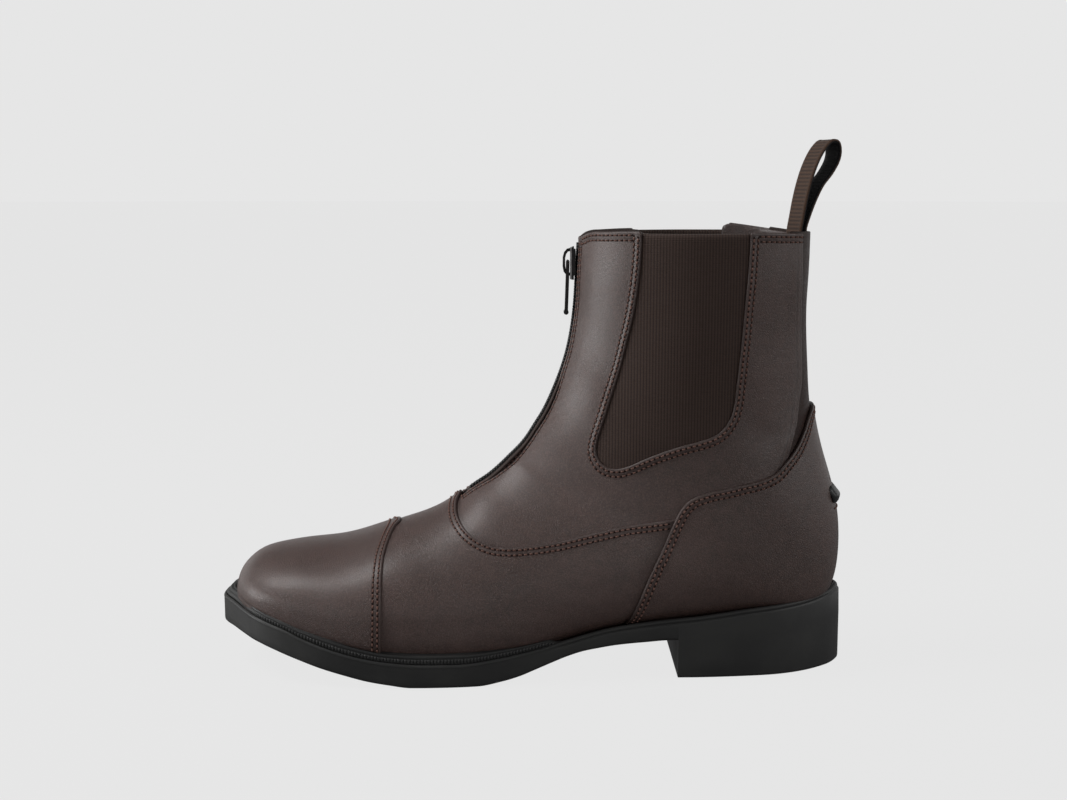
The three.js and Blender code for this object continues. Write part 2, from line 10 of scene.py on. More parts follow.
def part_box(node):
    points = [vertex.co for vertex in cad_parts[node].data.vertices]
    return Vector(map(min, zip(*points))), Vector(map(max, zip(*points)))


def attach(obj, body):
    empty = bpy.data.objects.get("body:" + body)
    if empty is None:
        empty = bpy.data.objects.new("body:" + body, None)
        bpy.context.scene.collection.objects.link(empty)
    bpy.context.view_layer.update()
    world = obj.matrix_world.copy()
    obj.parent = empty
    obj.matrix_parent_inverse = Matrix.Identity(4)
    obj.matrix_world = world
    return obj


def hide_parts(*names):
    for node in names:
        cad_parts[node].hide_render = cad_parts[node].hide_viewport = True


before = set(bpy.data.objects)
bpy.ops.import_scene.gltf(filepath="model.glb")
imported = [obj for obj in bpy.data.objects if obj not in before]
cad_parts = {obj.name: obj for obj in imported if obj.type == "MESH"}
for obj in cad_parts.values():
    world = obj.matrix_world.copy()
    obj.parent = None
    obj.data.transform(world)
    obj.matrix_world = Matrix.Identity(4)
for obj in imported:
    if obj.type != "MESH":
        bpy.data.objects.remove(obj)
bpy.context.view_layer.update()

# Everything below is worked out in millimetres in the part's own drawing frame (toe to -X, outer side to -Y)
# and shifted into the row's frame when a mesh is made. The zip's slider gives the shift.
_lo, _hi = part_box("zip_slider")
SHIFT = np.array([_lo.x * 1000 - 13.05, (_lo.y + _hi.y) * 500, _lo.z * 1000 - 174.6])

# ------------------------------------------------------------------ driving dimensions (mm)
CAP_OUT = 2.3  # faces above the quarter's face
VAMP_OUT = 1.4
COUNTER_OUT = 1.45
GUSSET_OUT = -0.6
LEATHER = 1.25  # thickness of the quarter's leather, the lining lies behind it
WALL = 2.0
SLIT_HALF = 3.6  # half width between the front edges
EDGE_R = 0.55  # rounding of a cut or folded edge
STITCH = 2.4  # length from hole to hole
ROW_1, ROW_2 = 1.4, 3.5  # rows of stitches, from the edge
BREAST_X = 64.0
WELT_END_X = 13.4
RIB = 1.45  # spacing of the welt's ribs
ELASTIC_RIB = 1.3
TOOTH = 1.5
LOOP_W, LOOP_T, LOOP_TURN = 13.0, 1.4, 19.0

# ------------------------------------------------------------------ the last, a row for each section
# front or top point (tx, tz), bottom or back point (bx, bz), middle yc, half widths wl and wm, place of the
# greatest width m, roundness of the top and bottom half nT and nB
LAST = np.array([
    # tx      tz      bx      bz    yc    wl    wm    m     nT    nB
    [-133.7,  34.0, -133.7,  34.0,  4.5,  0.0,  0.0, 0.50, 2.00, 2.20],
    [-132.7,  39.4, -132.7,  27.0,  4.5, 13.0, 13.0, 0.50, 2.00, 2.20],
    [-129.6,  43.9, -129.6,  23.0,  4.5, 22.0, 21.5, 0.50, 2.00, 2.30],
    [-124.0,  47.9, -124.0,  20.3,  4.4, 30.2, 28.6, 0.51, 2.00, 2.50],
    [-115.5,  50.1, -115.5,  17.7,  4.2, 36.6, 34.2, 0.52, 2.05, 2.80],
    [-104.5,  51.7, -104.5,  14.6,  3.8, 41.0, 38.2, 0.54, 2.10, 3.10],
    [ -91.5,  53.4,  -91.5,  11.0,  3.2, 44.0, 40.6, 0.56, 2.10, 3.40],
    [ -77.0,  56.8,  -77.0,   7.7,  2.6, 46.0, 42.0, 0.58, 2.10, 3.70],
    [ -62.0,  62.2,  -62.0,   5.9,  2.0, 46.4, 42.0, 0.60, 2.05, 3.90],
    [ -48.9,  66.8,  -35.0,   5.2,  1.5, 45.8, 40.2, 0.62, 2.00, 3.90],
    [ -37.2,  73.2,   -5.0,   8.8,  1.2, 42.6, 36.6, 0.63, 1.95, 3.70],
    [ -28.6,  80.1,   24.0,  17.4,  0.9, 39.0, 34.4, 0.64, 1.92, 3.40],
    [ -21.2,  85.2,   54.5,  21.4,  0.6, 36.8, 33.6, 0.64, 1.84, 3.00],
    [ -15.6,  89.9,   90.0,  24.4,  0.3, 35.6, 34.0, 0.62, 1.78, 2.70],
    [ -12.9,  92.5,  114.0,  26.3,  0.2, 35.3, 34.3, 0.60, 1.74, 2.55],
    [ -10.4,  95.0,  131.6,  30.8,  0.1, 35.2, 34.6, 0.58, 1.71, 2.35],
    [  -6.6,  98.8,  137.7,  50.5,  0.0, 35.4, 35.0, 0.55, 1.70, 2.20],
    [  -2.6, 103.8,  136.4,  75.0,  0.0, 35.6, 35.4, 0.53, 1.70, 2.15],
    [   1.6, 110.5,  129.7,  97.6,  0.0, 36.0, 36.0, 0.52, 1.69, 2.15],
    [   6.0, 118.2,  125.4, 117.8,  0.0, 36.4, 36.4, 0.51, 1.69, 2.15],
    [  12.5, 134.0,  123.8, 134.0,  0.0, 37.4, 37.4, 0.50, 1.70, 2.20],
    [  16.5, 149.0,  122.8, 149.0,  0.0, 38.4, 38.4, 0.50, 1.72, 2.20],
    [  18.5, 164.0,  122.5, 164.0,  0.0, 39.2, 39.2, 0.50, 1.75, 2.25],
    [  19.3, 179.0,  123.0, 179.0,  0.0, 39.8, 39.8, 0.50, 1.80, 2.30],
    [  20.2, 195.5,  123.3, 195.5,  0.0, 40.2, 40.2, 0.50, 1.80, 2.30],
    [  20.6, 208.0,  123.5, 208.0,  0.0, 40.2, 40.2, 0.50, 1.80, 2.30],
])
TOP_ROW = len(LAST) - 1
THROAT_ROW = 10.45  # where the front opening ends, under the vamp

# ------------------------------------------------------------------ the sole's rim and side lines
RIM = np.array([
    # x       outer   inner
    [-143.0,  -4.0,  13.0], [-137.0, -13.6,  23.5], [-131.0, -22.3,  30.0], [-123.5, -31.3,  35.5],
    [-113.0, -37.6,  40.0], [-100.4, -42.2,  43.8], [ -85.6, -45.9,  46.2], [ -71.2, -47.7,  47.3],
    [ -57.0, -48.3,  47.2], [ -43.0, -48.1,  45.6], [ -28.0, -46.6,  42.8], [ -14.0, -43.4,  39.4],
    [   0.0, -39.8,  36.6], [  15.0, -37.1,  34.6], [  33.7, -34.7,  33.5], [  52.0, -33.4,  33.4],
    [  73.0, -33.0,  33.6], [  91.8, -31.2,  32.4], [ 108.0, -28.4,  29.6], [ 119.8, -23.6,  25.0],
    [ 129.0, -17.3,  19.0], [ 136.5,  -9.6,  12.0],
])
RIM_TIP = (-143.9, 4.5)
RIM_HEEL = (141.2, 1.4)
UNDERSIDE = [
    [-145, 18.4], [-137, 17.9], [-130, 17.2], [-123, 16.2], [-115, 14.1], [-104, 10.8], [-93.5, 7.7],
    [-82, 4.9], [-72, 2.6], [-63, 1.2], [-53, 0.0], [-24, 0.0], [-13, 1.5], [-6, 3.1], [1, 5.6], [8, 8.3],
    [15, 10.9], [22, 12.9], [29, 14.1], [36, 15.1], [43.5, 15.8], [50.5, 16.3], [57.6, 16.9], [64, 17.2],
]
RIM_TOP = [
    [-145, 31.2], [-137, 30.0], [-131, 28.9], [-124, 27.6], [-117.5, 25.9], [-108.6, 23.4], [-100.4, 20.1],
    [-85.6, 15.6], [-71.2, 12.5], [-63.8, 11.5], [-49.5, 10.5], [-33.1, 10.4], [-16.3, 11.9], [0.2, 14.6],
    [14.3, 18.4], [25, 21.2], [33.7, 23.2], [46, 25.0], [59.3, 26.6], [73.4, 28.0], [95.6, 30.8], [118.7, 32.9],
    [131.9, 34.4], [143, 36.0],
]
WELT_TOP = [
    [-145, 34.8], [-136, 34.4], [-132, 33.4], [-126, 31.8], [-116.3, 28.6], [-103.3, 24.2], [-86.1, 19.6],
    [-71.5, 16.3], [-64.1, 15.1], [-49.8, 14.4], [-28.2, 14.5], [-8.2, 16.2], [13.4, 20.0],
]

# ------------------------------------------------------------------ lines of the upper, seen from the side (x, z)
CAP_LINE = [
    [-58.6, 80.0], [-59.2, 64.0], [-62.6, 61.0], [-65.0, 55.0], [-65.8, 48.0], [-65.9, 30.0], [-66.6, 0.0],
]
THROAT_LINE = [
    [-25.2, 85.7], [-28.2, 81.3], [-31.6, 77.7], [-34.0, 74.3], [-33.8, 70.4], [-30.5, 65.6], [-25.8, 62.1], [-19.0, 59.5],
    [-11.4, 58.8], [-0.2, 59.6], [11.2, 61.3], [22.5, 64.0], [37.4, 67.5], [52.5, 70.4], [75.0, 74.0],
]
COUNTER_LINE = [
    [30.5, 0.0], [41.8, 25.4], [45.2, 33.4], [50.9, 47.2], [56.9, 60.0], [61.4, 70.7], [63.7, 75.6],
    [67.9, 80.6], [76.1, 84.1], [84.4, 85.8], [91.4, 87.4], [98.5, 88.9], [105.3, 91.6], [110.0, 96.0],
    [114.8, 101.6], [119.0, 108.9], [123.0, 116.6], [134.0, 126.0],
]
GUSSET_LINE = [
    [46.1, 215.0], [46.1, 195.8], [45.8, 185.7], [44.7, 173.4], [42.9, 160.9], [40.2, 148.7], [37.0, 136.0],
    [33.0, 122.4], [30.2, 113.0], [27.8, 105.5], [27.2, 101.0], [28.6, 96.8], [32.1, 93.9], [36.6, 93.4],
    [41.9, 95.0], [48.7, 98.4], [55.5, 101.4], [64.5, 104.6], [73.1, 107.0], [78.5, 109.1], [82.2, 112.1],
    [85.2, 116.8], [86.8, 123.0], [87.6, 131.3], [88.5, 140.9], [89.5, 153.0], [90.3, 165.4], [91.2, 177.7],
    [91.8, 189.6], [91.9, 195.5], [91.9, 215.0],
]
COLLAR_LINE = [
    [10.0, 193.4], [18.6, 192.4], [20.6, 193.6], [23.6, 195.5], [26.5, 196.3], [30.0, 196.4], [46.1, 196.7],
    [60.0, 195.9], [92.0, 196.3], [110.0, 195.9], [121.5, 195.5], [130.0, 194.6],
]
STRIP_LINE = [
    [115.6, 215.0], [115.6, 193.0], [115.8, 178.0], [116.2, 164.0], [117.0, 147.0], [117.6, 131.3],
    [116.4, 121.4], [115.2, 111.4], [113.4, 103.8], [110.5, 92.0],
]
LOOP_PATH = [
    [116.3, 184.0], [116.6, 196.0], [117.8, 203.0], [119.1, 210.0], [120.8, 217.0], [122.9, 223.4],
    [125.7, 229.4], [128.6, 233.6], [131.5, 235.9], [134.2, 235.4], [135.3, 232.4], [134.8, 228.0],
    [131.6, 222.2], [126.9, 216.4], [123.5, 210.0], [120.8, 203.4], [118.9, 197.6], [118.2, 190.0],
]


# ------------------------------------------------------------------ curves
def along_x(rows):
    """A curve z(x) through rows [x, z] that never overshoots them."""
    r = np.array(rows, float)
    d = np.diff(r[:, 1]) / np.diff(r[:, 0])
    m = np.empty(len(r))
    m[0], m[-1] = d[0], d[-1]
    p = d[:-1] * d[1:]
    m[1:-1] = np.where(p <= 0, 0, 2 * p / np.where(p <= 0, 1, d[:-1] + d[1:]))

    def f(x):
        x = np.asarray(x, float)
        i = np.clip(np.searchsorted(r[:, 0], x, side="left") - 1, 0, len(r) - 2)
        h = r[i + 1, 0] - r[i, 0]
        t = (x - r[i, 0]) / h
        t2, t3 = t * t, t * t * t
        return ((2 * t3 - 3 * t2 + 1) * r[i, 1] + (t3 - 2 * t2 + t) * h * m[i]
                + (3 * t2 - 2 * t3) * r[i + 1, 1] + (t3 - t2) * h * m[i + 1])

    return f


def catmull(points, closed=False, per=16):
    """A dense centripetal Catmull-Rom curve through the points."""
    p = np.array(points, float)
    n = len(p)
    if closed:
        q = np.vstack([p[-1], p, p[0], p[1]])
        segs = n
    else:
        q = np.vstack([2 * p[0] - p[1], p, 2 * p[-1] - p[-2]])
        segs = n - 1
    out = []
    t = np.arange(per) / per
    for i in range(segs):
        a, b, c, d = q[i], q[i + 1], q[i + 2], q[i + 3]
        d0 = max(np.linalg.norm(b - a), 1e-4) ** 0.5
        d1 = max(np.linalg.norm(c - b), 1e-4) ** 0.5
        d2 = max(np.linalg.norm(d - c), 1e-4) ** 0.5
        m1 = ((b - a) / d0 - (c - a) / (d0 + d1) + (c - b) / d1) * d1
        m2 = ((c - b) / d1 - (d - b) / (d1 + d2) + (d - c) / d2) * d1
        for s in t:
            s2, s3 = s * s, s * s * s
            out.append((2 * s3 - 3 * s2 + 1) * b + (s3 - 2 * s2 + s) * m1 + (3 * s2 - 2 * s3) * c + (s3 - s2) * m2)
    if not closed:
        out.append(p[-1])
    return np.array(out)


def resample(p, step, closed=False):
    """Points at even steps along a polyline, and the whole length."""
    p = np.asarray(p, float)
    if closed:
        p = np.vstack([p, p[0]])
    s = np.concatenate([[0], np.cumsum(np.linalg.norm(np.diff(p, axis=0), axis=1))])
    n = max(2, int(round(s[-1] / step)))
    t = np.linspace(0, s[-1], n + 1)
    if closed:
        t = t[:-1]
    return np.stack([np.interp(t, s, p[:, k]) for k in range(p.shape[1])], 1), s[-1]


def smooth(x, a, b):
    """0 at a, 1 at b, with soft ends."""
    t = np.clip((np.asarray(x, float) - a) / (b - a), 0, 1)
    return t * t * (3 - 2 * t)


# ------------------------------------------------------------------ the last's surface
def _spline_moments(y):
    n = len(y)
    A = np.zeros((n, n))
    b = np.zeros(n)
    A[0, 0] = A[-1, -1] = 1
    for i in range(1, n - 1):
        A[i, i - 1] = A[i, i + 1] = 1
        A[i, i] = 4
        b[i] = 6 * (y[i - 1] - 2 * y[i] + y[i + 1])
    return np.linalg.solve(A, b)


MOMENTS = np.stack([_spline_moments(LAST[:, k]) for k in range(LAST.shape[1])], 1)


def S(u, v):
    """The last's surface: u is the section, v runs round it, 0 at its front and 1 or -1 at its back, -v outside."""
    u, v = np.broadcast_arrays(np.asarray(u, float), np.asarray(v, float))
    v = (v + 1) % 2 - 1
    i = np.clip(np.floor(u).astype(int), 0, TOP_ROW - 1)
    t = (u - i)[..., None]
    s = 1 - t
    r = s * LAST[i] + t * LAST[i + 1] + ((s ** 3 - s) * MOMENTS[i] + (t ** 3 - t) * MOMENTS[i + 1]) / 6
    tx, tz, bx, bz, yc, wl, wm, m, nT, nB = [r[..., k] for k in range(10)]
    th = np.abs(v) * np.pi
    c = np.cos(th)
    n = np.where(c >= 0, nT, nB)
    cc = np.abs(c) ** (2 / n)
    ss = np.clip(np.sin(th), 0, 1) ** (2 / n)
    k = np.where(c >= 0, m * (1 - cc), m + (1 - m) * cc)
    half = np.where(v < 0, -np.maximum(wl, 0), np.maximum(wm, 0))
    return np.stack([tx + k * (bx - tx), yc + half * ss, tz + k * (bz - tz)], -1)


def N(u, v, e=2e-3):
    """The surface's outward normal."""
    u, v = np.broadcast_arrays(np.asarray(u, float), np.asarray(v, float))
    du = S(np.clip(u + e, 0, TOP_ROW), v) - S(np.clip(u - e, 0, TOP_ROW), v)
    dv = S(u, v + e) - S(u, v - e)
    n = np.cross(du, dv)
    n /= np.maximum(np.linalg.norm(n, axis=-1, keepdims=True), 1e-12)
    tip = u < 1e-6
    if np.any(tip):
        n[tip] = (-1, 0, 0)
    return n


# ------------------------------------------------------------------ folds and the leather's slight unevenness
# A fold is a line seen from the side, with its width and its height (below 0 for a trough), on the outer side (-1),
# the inner side (1) or both (0).
FOLDS = [
    # the soft hollow in front of the ankle and the break above the instep
    ([[4.0, 128.0], [14.0, 112.0], [30.0, 96.0]], 11.0, -0.9, 0),
    ([[-6.0, 104.0], [8.0, 96.0], [26.0, 86.0]], 8.0, 0.55, 0),
    ([[-14.0, 92.0], [4.0, 82.0], [24.0, 76.0]], 7.0, -0.45, 0),
    ([[6.0, 140.0], [20.0, 131.0], [31.0, 122.0]], 8.0, 0.5, 0),
    # shaft behind the gusset
    ([[96.0, 176.0], [104.0, 150.0], [104.0, 124.0]], 10.0, -0.5, 0),
    ([[92.0, 112.0], [104.0, 108.0], [116.0, 112.0]], 6.0, -0.4, 0),
    # vamp, towards the joint of the toes
    ([[-50.0, 62.0], [-44.0, 50.0], [-40.0, 36.0]], 9.0, -0.45, -1),
    ([[-52.0, 62.0], [-46.0, 48.0], [-42.0, 36.0]], 9.0, -0.4, 1),
    ([[-20.0, 50.0], [0.0, 40.0], [20.0, 34.0]], 10.0, 0.4, -1),
]


def unevenness(P):
    """How far the leather's face stands off the last (mm), from the folds and slow waves."""
    x, y, z = P[:, 0], P[:, 1], P[:, 2]
    d = 0.13 * np.sin(x / 11.0 + 1.3 * np.sin(z / 17.0) + 0.5 * np.sin(y / 9.0))
    d += 0.10 * np.sin(z / 8.0 + 1.1 * np.sin(x / 15.0 + y / 13.0))
    d += 0.06 * np.sin(x / 5.3 + z / 6.1 + 0.7 * np.sin(y / 5.0))
    for line, width, height, side in FOLDS:
        L = resample(catmull(line, per=6), 3.0)[0]
        s = np.linspace(0, 1, len(L))
        taper = np.sin(np.pi * (0.04 + 0.92 * s)) ** 0.8
        dist = (x[:, None] - L[None, :, 0]) ** 2 + (z[:, None] - L[None, :, 1]) ** 2
        k = dist.argmin(1)
        near = np.exp(-dist[np.arange(len(x)), k] / width ** 2) * taper[k]
        if side:
            near = near * smooth(side * y, -4.0, 12.0)
        d += height * near
    return d


# ------------------------------------------------------------------ fields: distance along the leather from a line
class Skin:
    """Points on the last's surface, and how far each is from the upper's lines (mm, above 0 inside)."""

    def __init__(self, u, v):
        self.u, self.v = np.asarray(u, float), np.asarray(v, float)
        self.P, self.n = S(self.u, self.v), N(self.u, self.v)
        self.known = {}

    def __len__(self):
        return len(self.u)

    def _line(self, line):
        x, z = self.P[:, 0], self.P[:, 2]
        a, b = line[:-1], line[1:]
        e = b - a
        ee = (e ** 2).sum(1)
        best = np.full(len(x), 1e18)
        gx = np.zeros(len(x))
        gz = np.zeros(len(x))
        step = max(1, int(3e6 / len(e)))
        for i in range(0, len(x), step):
            j = slice(i, i + step)
            px = x[j, None] - a[None, :, 0]
            pz = z[j, None] - a[None, :, 1]
            t = np.clip((px * e[None, :, 0] + pz * e[None, :, 1]) / ee[None], 0, 1)
            px -= t * e[None, :, 0]
            pz -= t * e[None, :, 1]
            d = px * px + pz * pz
            k = d.argmin(1)
            r = np.arange(len(k))
            best[j] = d[r, k]
            gx[j] = px[r, k]
            gz[j] = pz[r, k]
        dist = np.sqrt(best)
        g = np.stack([gx, gz], 1) / np.maximum(dist, 1e-9)[:, None]
        along = g[:, 0] * self.n[:, 0] + g[:, 1] * self.n[:, 2]
        return dist / np.sqrt(np.clip(1 - along ** 2, 0.09, 1))

    def get(self, name):
        if name not in self.known:
            self.known[name] = getattr(self, "_" + name)()
        return self.known[name]

    def _inside(self, poly):
        x, z = self.P[:, 0], self.P[:, 2]
        odd = np.zeros(len(x), bool)
        n = len(poly)
        for i in range(n):
            ax, az = poly[i]
            bx, bz = poly[(i + 1) % n]
            if az == bz:
                continue
            hit = (az > z) != (bz > z)
            odd ^= hit & (x < (bx - ax) * (z - az) / (bz - az) + ax)
        return odd

    def _cap(self):
        line = catmull(CAP_LINE, per=12)
        poly = np.vstack([[-200, -40], [-200, 140], [-58.6, 140], line, [-66.6, -40]])
        return self._line(line) * np.where(self._inside(poly), 1, -1)

    def _throat(self):
        line = catmull(THROAT_LINE, per=12)
        poly = np.vstack([[-220, 150], [-24.0, 150], line, [220, 96], [220, -40], [-220, -40]])
        return self._line(line) * np.where(self._inside(poly), 1, -1)

    def _counter(self):
        line = catmull(COUNTER_LINE, per=10)
        poly = np.vstack([[22, -40], line, [220, 126], [220, -40]])
        return self._line(line) * np.where(self._inside(poly), 1, -1)

    def _gusset(self):
        line = catmull(GUSSET_LINE, per=10)
        return self._line(line) * np.where(self._inside(line), 1, -1)

    def _collar(self):
        line = catmull(COLLAR_LINE, per=8)
        rise = 2.8 * smooth(self.P[:, 1], 4.0, 16.0) * smooth(self.P[:, 0], 86.0, 92.0) * np.clip((117.0 - self.P[:, 0]) / 24.0, 0, 1)
        return self._line(line) * np.where(self.P[:, 2] < np.interp(self.P[:, 0], line[:, 0], line[:, 1]), 1, -1) + rise

    def _strip(self):
        line = catmull(STRIP_LINE, per=10)
        edge = np.interp(self.P[:, 2], line[::-1, 1], line[::-1, 0])
        return self._line(line) * np.where(self.P[:, 0] < edge, 1, -1)

    def _zip(self):
        d = (np.abs(self.P[:, 1]) - SLIT_HALF) / np.sqrt(np.clip(1 - self.n[:, 1] ** 2, 0.09, 1))
        far = (np.abs(np.where(self.v > 1, self.v - 2, self.v)) > 0.5) | (self.u < THROAT_ROW)
        return np.where(far, 99.0, d)

    def _feather(self):
        x = self.P[:, 0]
        low = np.where(x < WELT_END_X, welt_top(np.minimum(x, WELT_END_X)), rim_top(x))
        return self.P[:, 2] - low


rim_top = along_x(RIM_TOP)
welt_top = along_x(WELT_TOP)
underside = along_x(UNDERSIDE)
keel = along_x([[r[2], r[3]] for r in LAST[1:16]])


# ------------------------------------------------------------------ meshes
def make(name, P, faces, material, replaces=(), body="boot", attributes=None, picks=None, weld=0.0, sharp=None):
    """A mesh from points (mm, drawing frame) and arrays of triangles or quads."""
    co = (np.asarray(P, float) + SHIFT) / 1000
    if not isinstance(faces, (list, tuple)):
        faces = [faces]
    loops = np.concatenate([np.asarray(f, np.int32).ravel() for f in faces])
    totals = np.concatenate([np.full(len(f), np.asarray(f).shape[1], np.int32) for f in faces])
    starts = np.concatenate([[0], np.cumsum(totals)[:-1]]).astype(np.int32)
    me = bpy.data.meshes.new(name)
    me.vertices.add(len(co))
    me.vertices.foreach_set("co", co.astype(np.float32).ravel())
    me.loops.add(len(loops))
    me.loops.foreach_set("vertex_index", loops)
    me.polygons.add(len(totals))
    me.polygons.foreach_set("loop_start", starts)
    me.polygons.foreach_set("loop_total", totals)
    materials = material if isinstance(material, (list, tuple)) else [material]
    for m in materials:
        me.materials.append(m)
    if picks is not None:
        me.polygons.foreach_set("material_index", np.asarray(picks, np.int32))
    for key, values in (attributes or {}).items():
        a = me.attributes.new(key, "FLOAT", "POINT")
        a.data.foreach_set("value", np.asarray(values, np.float32))
    me.update(calc_edges=True)
    me.validate()
    if weld:
        bm = bmesh.new()
        bm.from_mesh(me)
        bmesh.ops.remove_doubles(bm, verts=bm.verts, dist=weld / 1000)
        bmesh.ops.dissolve_degenerate(bm, dist=weld / 2000, edges=bm.edges)
        bmesh.ops.recalc_face_normals(bm, faces=bm.faces)
        bm.to_mesh(me)
        bm.free()
    me.shade_smooth()
    if sharp is not None:
        me.set_sharp_from_angle(angle=math.radians(sharp))
    o = bpy.data.objects.new(name, me)
    bpy.context.scene.collection.objects.link(o)
    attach(o, body)
    if replaces:
        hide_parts(*([replaces] if isinstance(replaces, str) else replaces))
    return o


def base_grid(rows, cols):
    """The last's surface as triangles with its outside up: section, place round it, and triangles."""
    us = TOP_ROW * (np.arange(1, rows + 1) / rows)
    front = np.arange(1, rows + 1) / rows
    us = TOP_ROW * front ** 1.12
    vs = -1 + 2 * np.arange(cols) / cols
    uu, vv = np.meshgrid(us, vs, indexing="ij")
    u = np.concatenate([[0.0], uu.ravel()])
    v = np.concatenate([[0.0], vv.ravel()])
    at = lambda i, j: 1 + i * cols + (j % cols)
    i, j = np.meshgrid(np.arange(rows - 1), np.arange(cols), indexing="ij")
    a, b, c, d = at(i, j), at(i + 1, j), at(i + 1, j + 1), at(i, j + 1)
    flip = ((i + j) % 2 == 0)[..., None]
    t1 = np.where(flip, np.stack([a, b, c], -1), np.stack([a, b, d], -1)).reshape(-1, 3)
    t2 = np.where(flip, np.stack([a, c, d], -1), np.stack([b, c, d], -1)).reshape(-1, 3)
    k = np.arange(cols)
    fan = np.stack([np.zeros(cols, int), at(0, k), at(0, k + 1)], -1)
    return u, v, np.vstack([fan, t1, t2])


def refine(u, v, tris, wanted):
    """Splits each triangle's edges that have a wanted end, with no gaps."""
    e = np.sort(np.concatenate([tris[:, [0, 1]], tris[:, [1, 2]], tris[:, [2, 0]]]), axis=1)
    keys, inverse = np.unique(e[:, 0].astype(np.int64) * (len(u) + 1) + e[:, 1], return_inverse=True)
    a, b = keys // (len(u) + 1), keys % (len(u) + 1)
    split = wanted[a] | wanted[b]
    new = np.full(len(keys), -1)
    new[split] = len(u) + np.arange(split.sum())
    va, vb = v[a[split]], v[b[split]]
    vb = np.where(vb - va > 1, vb - 2, np.where(va - vb > 1, vb + 2, vb))
    vm = (va + vb) / 2
    vm = (vm + 1) % 2 - 1
    tip = u[a[split]] == 0
    vm = np.where(tip, v[b[split]], vm)
    u2 = np.concatenate([u, (u[a[split]] + u[b[split]]) / 2])
    v2 = np.concatenate([v, vm])
    m = new[inverse].reshape(3, len(tris)).T
    out = []
    n = (m >= 0).sum(1)
    out.append(tris[n == 0])
    t, k = tris[n == 1], m[n == 1]
    r = (k >= 0).argmax(1)
    t, k = roll(t, r), roll(k, r)
    out += [np.stack([t[:, 0], k[:, 0], t[:, 2]], 1), np.stack([k[:, 0], t[:, 1], t[:, 2]], 1)]
    t, k = tris[n == 2], m[n == 2]
    r = (k < 0).argmax(1)
    t, k = roll(t, r), roll(k, r)
    # the edge 0-1 is whole, 1-2 and 2-0 are split
    out += [np.stack([t[:, 0], t[:, 1], k[:, 1]], 1), np.stack([t[:, 0], k[:, 1], k[:, 2]], 1), np.stack([k[:, 2], k[:, 1], t[:, 2]], 1)]
    t, k = tris[n == 3], m[n == 3]
    out += [np.stack([t[:, 0], k[:, 0], k[:, 2]], 1), np.stack([k[:, 0], t[:, 1], k[:, 1]], 1),
            np.stack([k[:, 2], k[:, 1], t[:, 2]], 1), np.stack([k[:, 0], k[:, 1], k[:, 2]], 1)]
    return u2, v2, np.vstack(out)


def roll(a, r):
    i = (np.arange(3)[None] + r[:, None]) % 3
    return np.take_along_axis(a, i, 1)


def clip(tris, f):
    """The part of the triangles where f is above 0: triangles, the pairs and shares of new points, border edges."""
    n = len(f)
    inside = f[tris] > 0
    count = inside.sum(1)
    full = tris[count == 3]
    one, two = tris[count == 1], tris[count == 2]
    one = roll(one, inside[count == 1].argmax(1))
    two = roll(two, (~inside[count == 2]).argmax(1))
    pairs = np.concatenate([one[:, [0, 1]], one[:, [0, 2]], two[:, [0, 1]], two[:, [0, 2]]])
    pairs = np.sort(pairs, axis=1)
    keys, inverse = np.unique(pairs[:, 0].astype(np.int64) * (n + 1) + pairs[:, 1], return_inverse=True)
    a, b = keys // (n + 1), keys % (n + 1)
    share = np.clip(f[a] / (f[a] - f[b]), 0.02, 0.98)
    idx = n + inverse
    k1, k2 = len(one), len(two)
    o_ab, o_ac = idx[:k1], idx[k1:2 * k1]
    t_ab, t_ac = idx[2 * k1:2 * k1 + k2], idx[2 * k1 + k2:]
    out = np.vstack([
        full,
        np.stack([one[:, 0], o_ab, o_ac], 1),
        np.stack([t_ab, two[:, 1], two[:, 2]], 1),
        np.stack([t_ab, two[:, 2], t_ac], 1),
    ])
    border = np.vstack([np.stack([o_ab, o_ac], 1), np.stack([t_ac, t_ab], 1)])
    return out, a, b, share, border


def mix_v(va, vb, s):
    vb = np.where(vb - va > 1, vb - 2, np.where(va - vb > 1, vb + 2, vb))
    v = va + (vb - va) * s
    return (v + 1) % 2 - 1


GRID = base_grid(360, 210)
GRID_SKIN = Skin(GRID[0], GRID[1])


def gradient_out(skin, fields, e=0.35):
    """The direction along the surface in which the field falls fastest."""
    P, n = skin.P, skin.n
    # two directions along the surface
    du = S(np.clip(skin.u + 2e-3, 0, TOP_ROW), skin.v) - S(np.clip(skin.u - 2e-3, 0, TOP_ROW), skin.v)
    dv = S(skin.u, skin.v + 2e-3) - S(skin.u, skin.v - 2e-3)
    lu = np.linalg.norm(du, axis=1) / 4e-3
    lv = np.linalg.norm(dv, axis=1) / 4e-3
    eu = e / np.maximum(lu, 1e-6)
    ev = e / np.maximum(lv, 1e-6)
    up, um = np.clip(skin.u + eu, 0, TOP_ROW), np.clip(skin.u - eu, 0, TOP_ROW)
    fu = (fields(Skin(up, skin.v)) - fields(Skin(um, skin.v)))
    fv = (fields(Skin(skin.u, skin.v + ev)) - fields(Skin(skin.u, skin.v - ev)))
    tu = S(up, skin.v) - S(um, skin.v)
    tv = S(skin.u, skin.v + ev) - S(skin.u, skin.v - ev)
    # solve for the tangent vector g with g.tu = fu and g.tv = fv
    a11, a12, a22 = (tu * tu).sum(1), (tu * tv).sum(1), (tv * tv).sum(1)
    det = np.maximum(a11 * a22 - a12 ** 2, 1e-9)
    p = (fu * a22 - fv * a12) / det
    q = (fv * a11 - fu * a12) / det
    g = tu * p[:, None] + tv * q[:, None]
    return -g / np.maximum(np.linalg.norm(g, axis=1, keepdims=True), 1e-9)


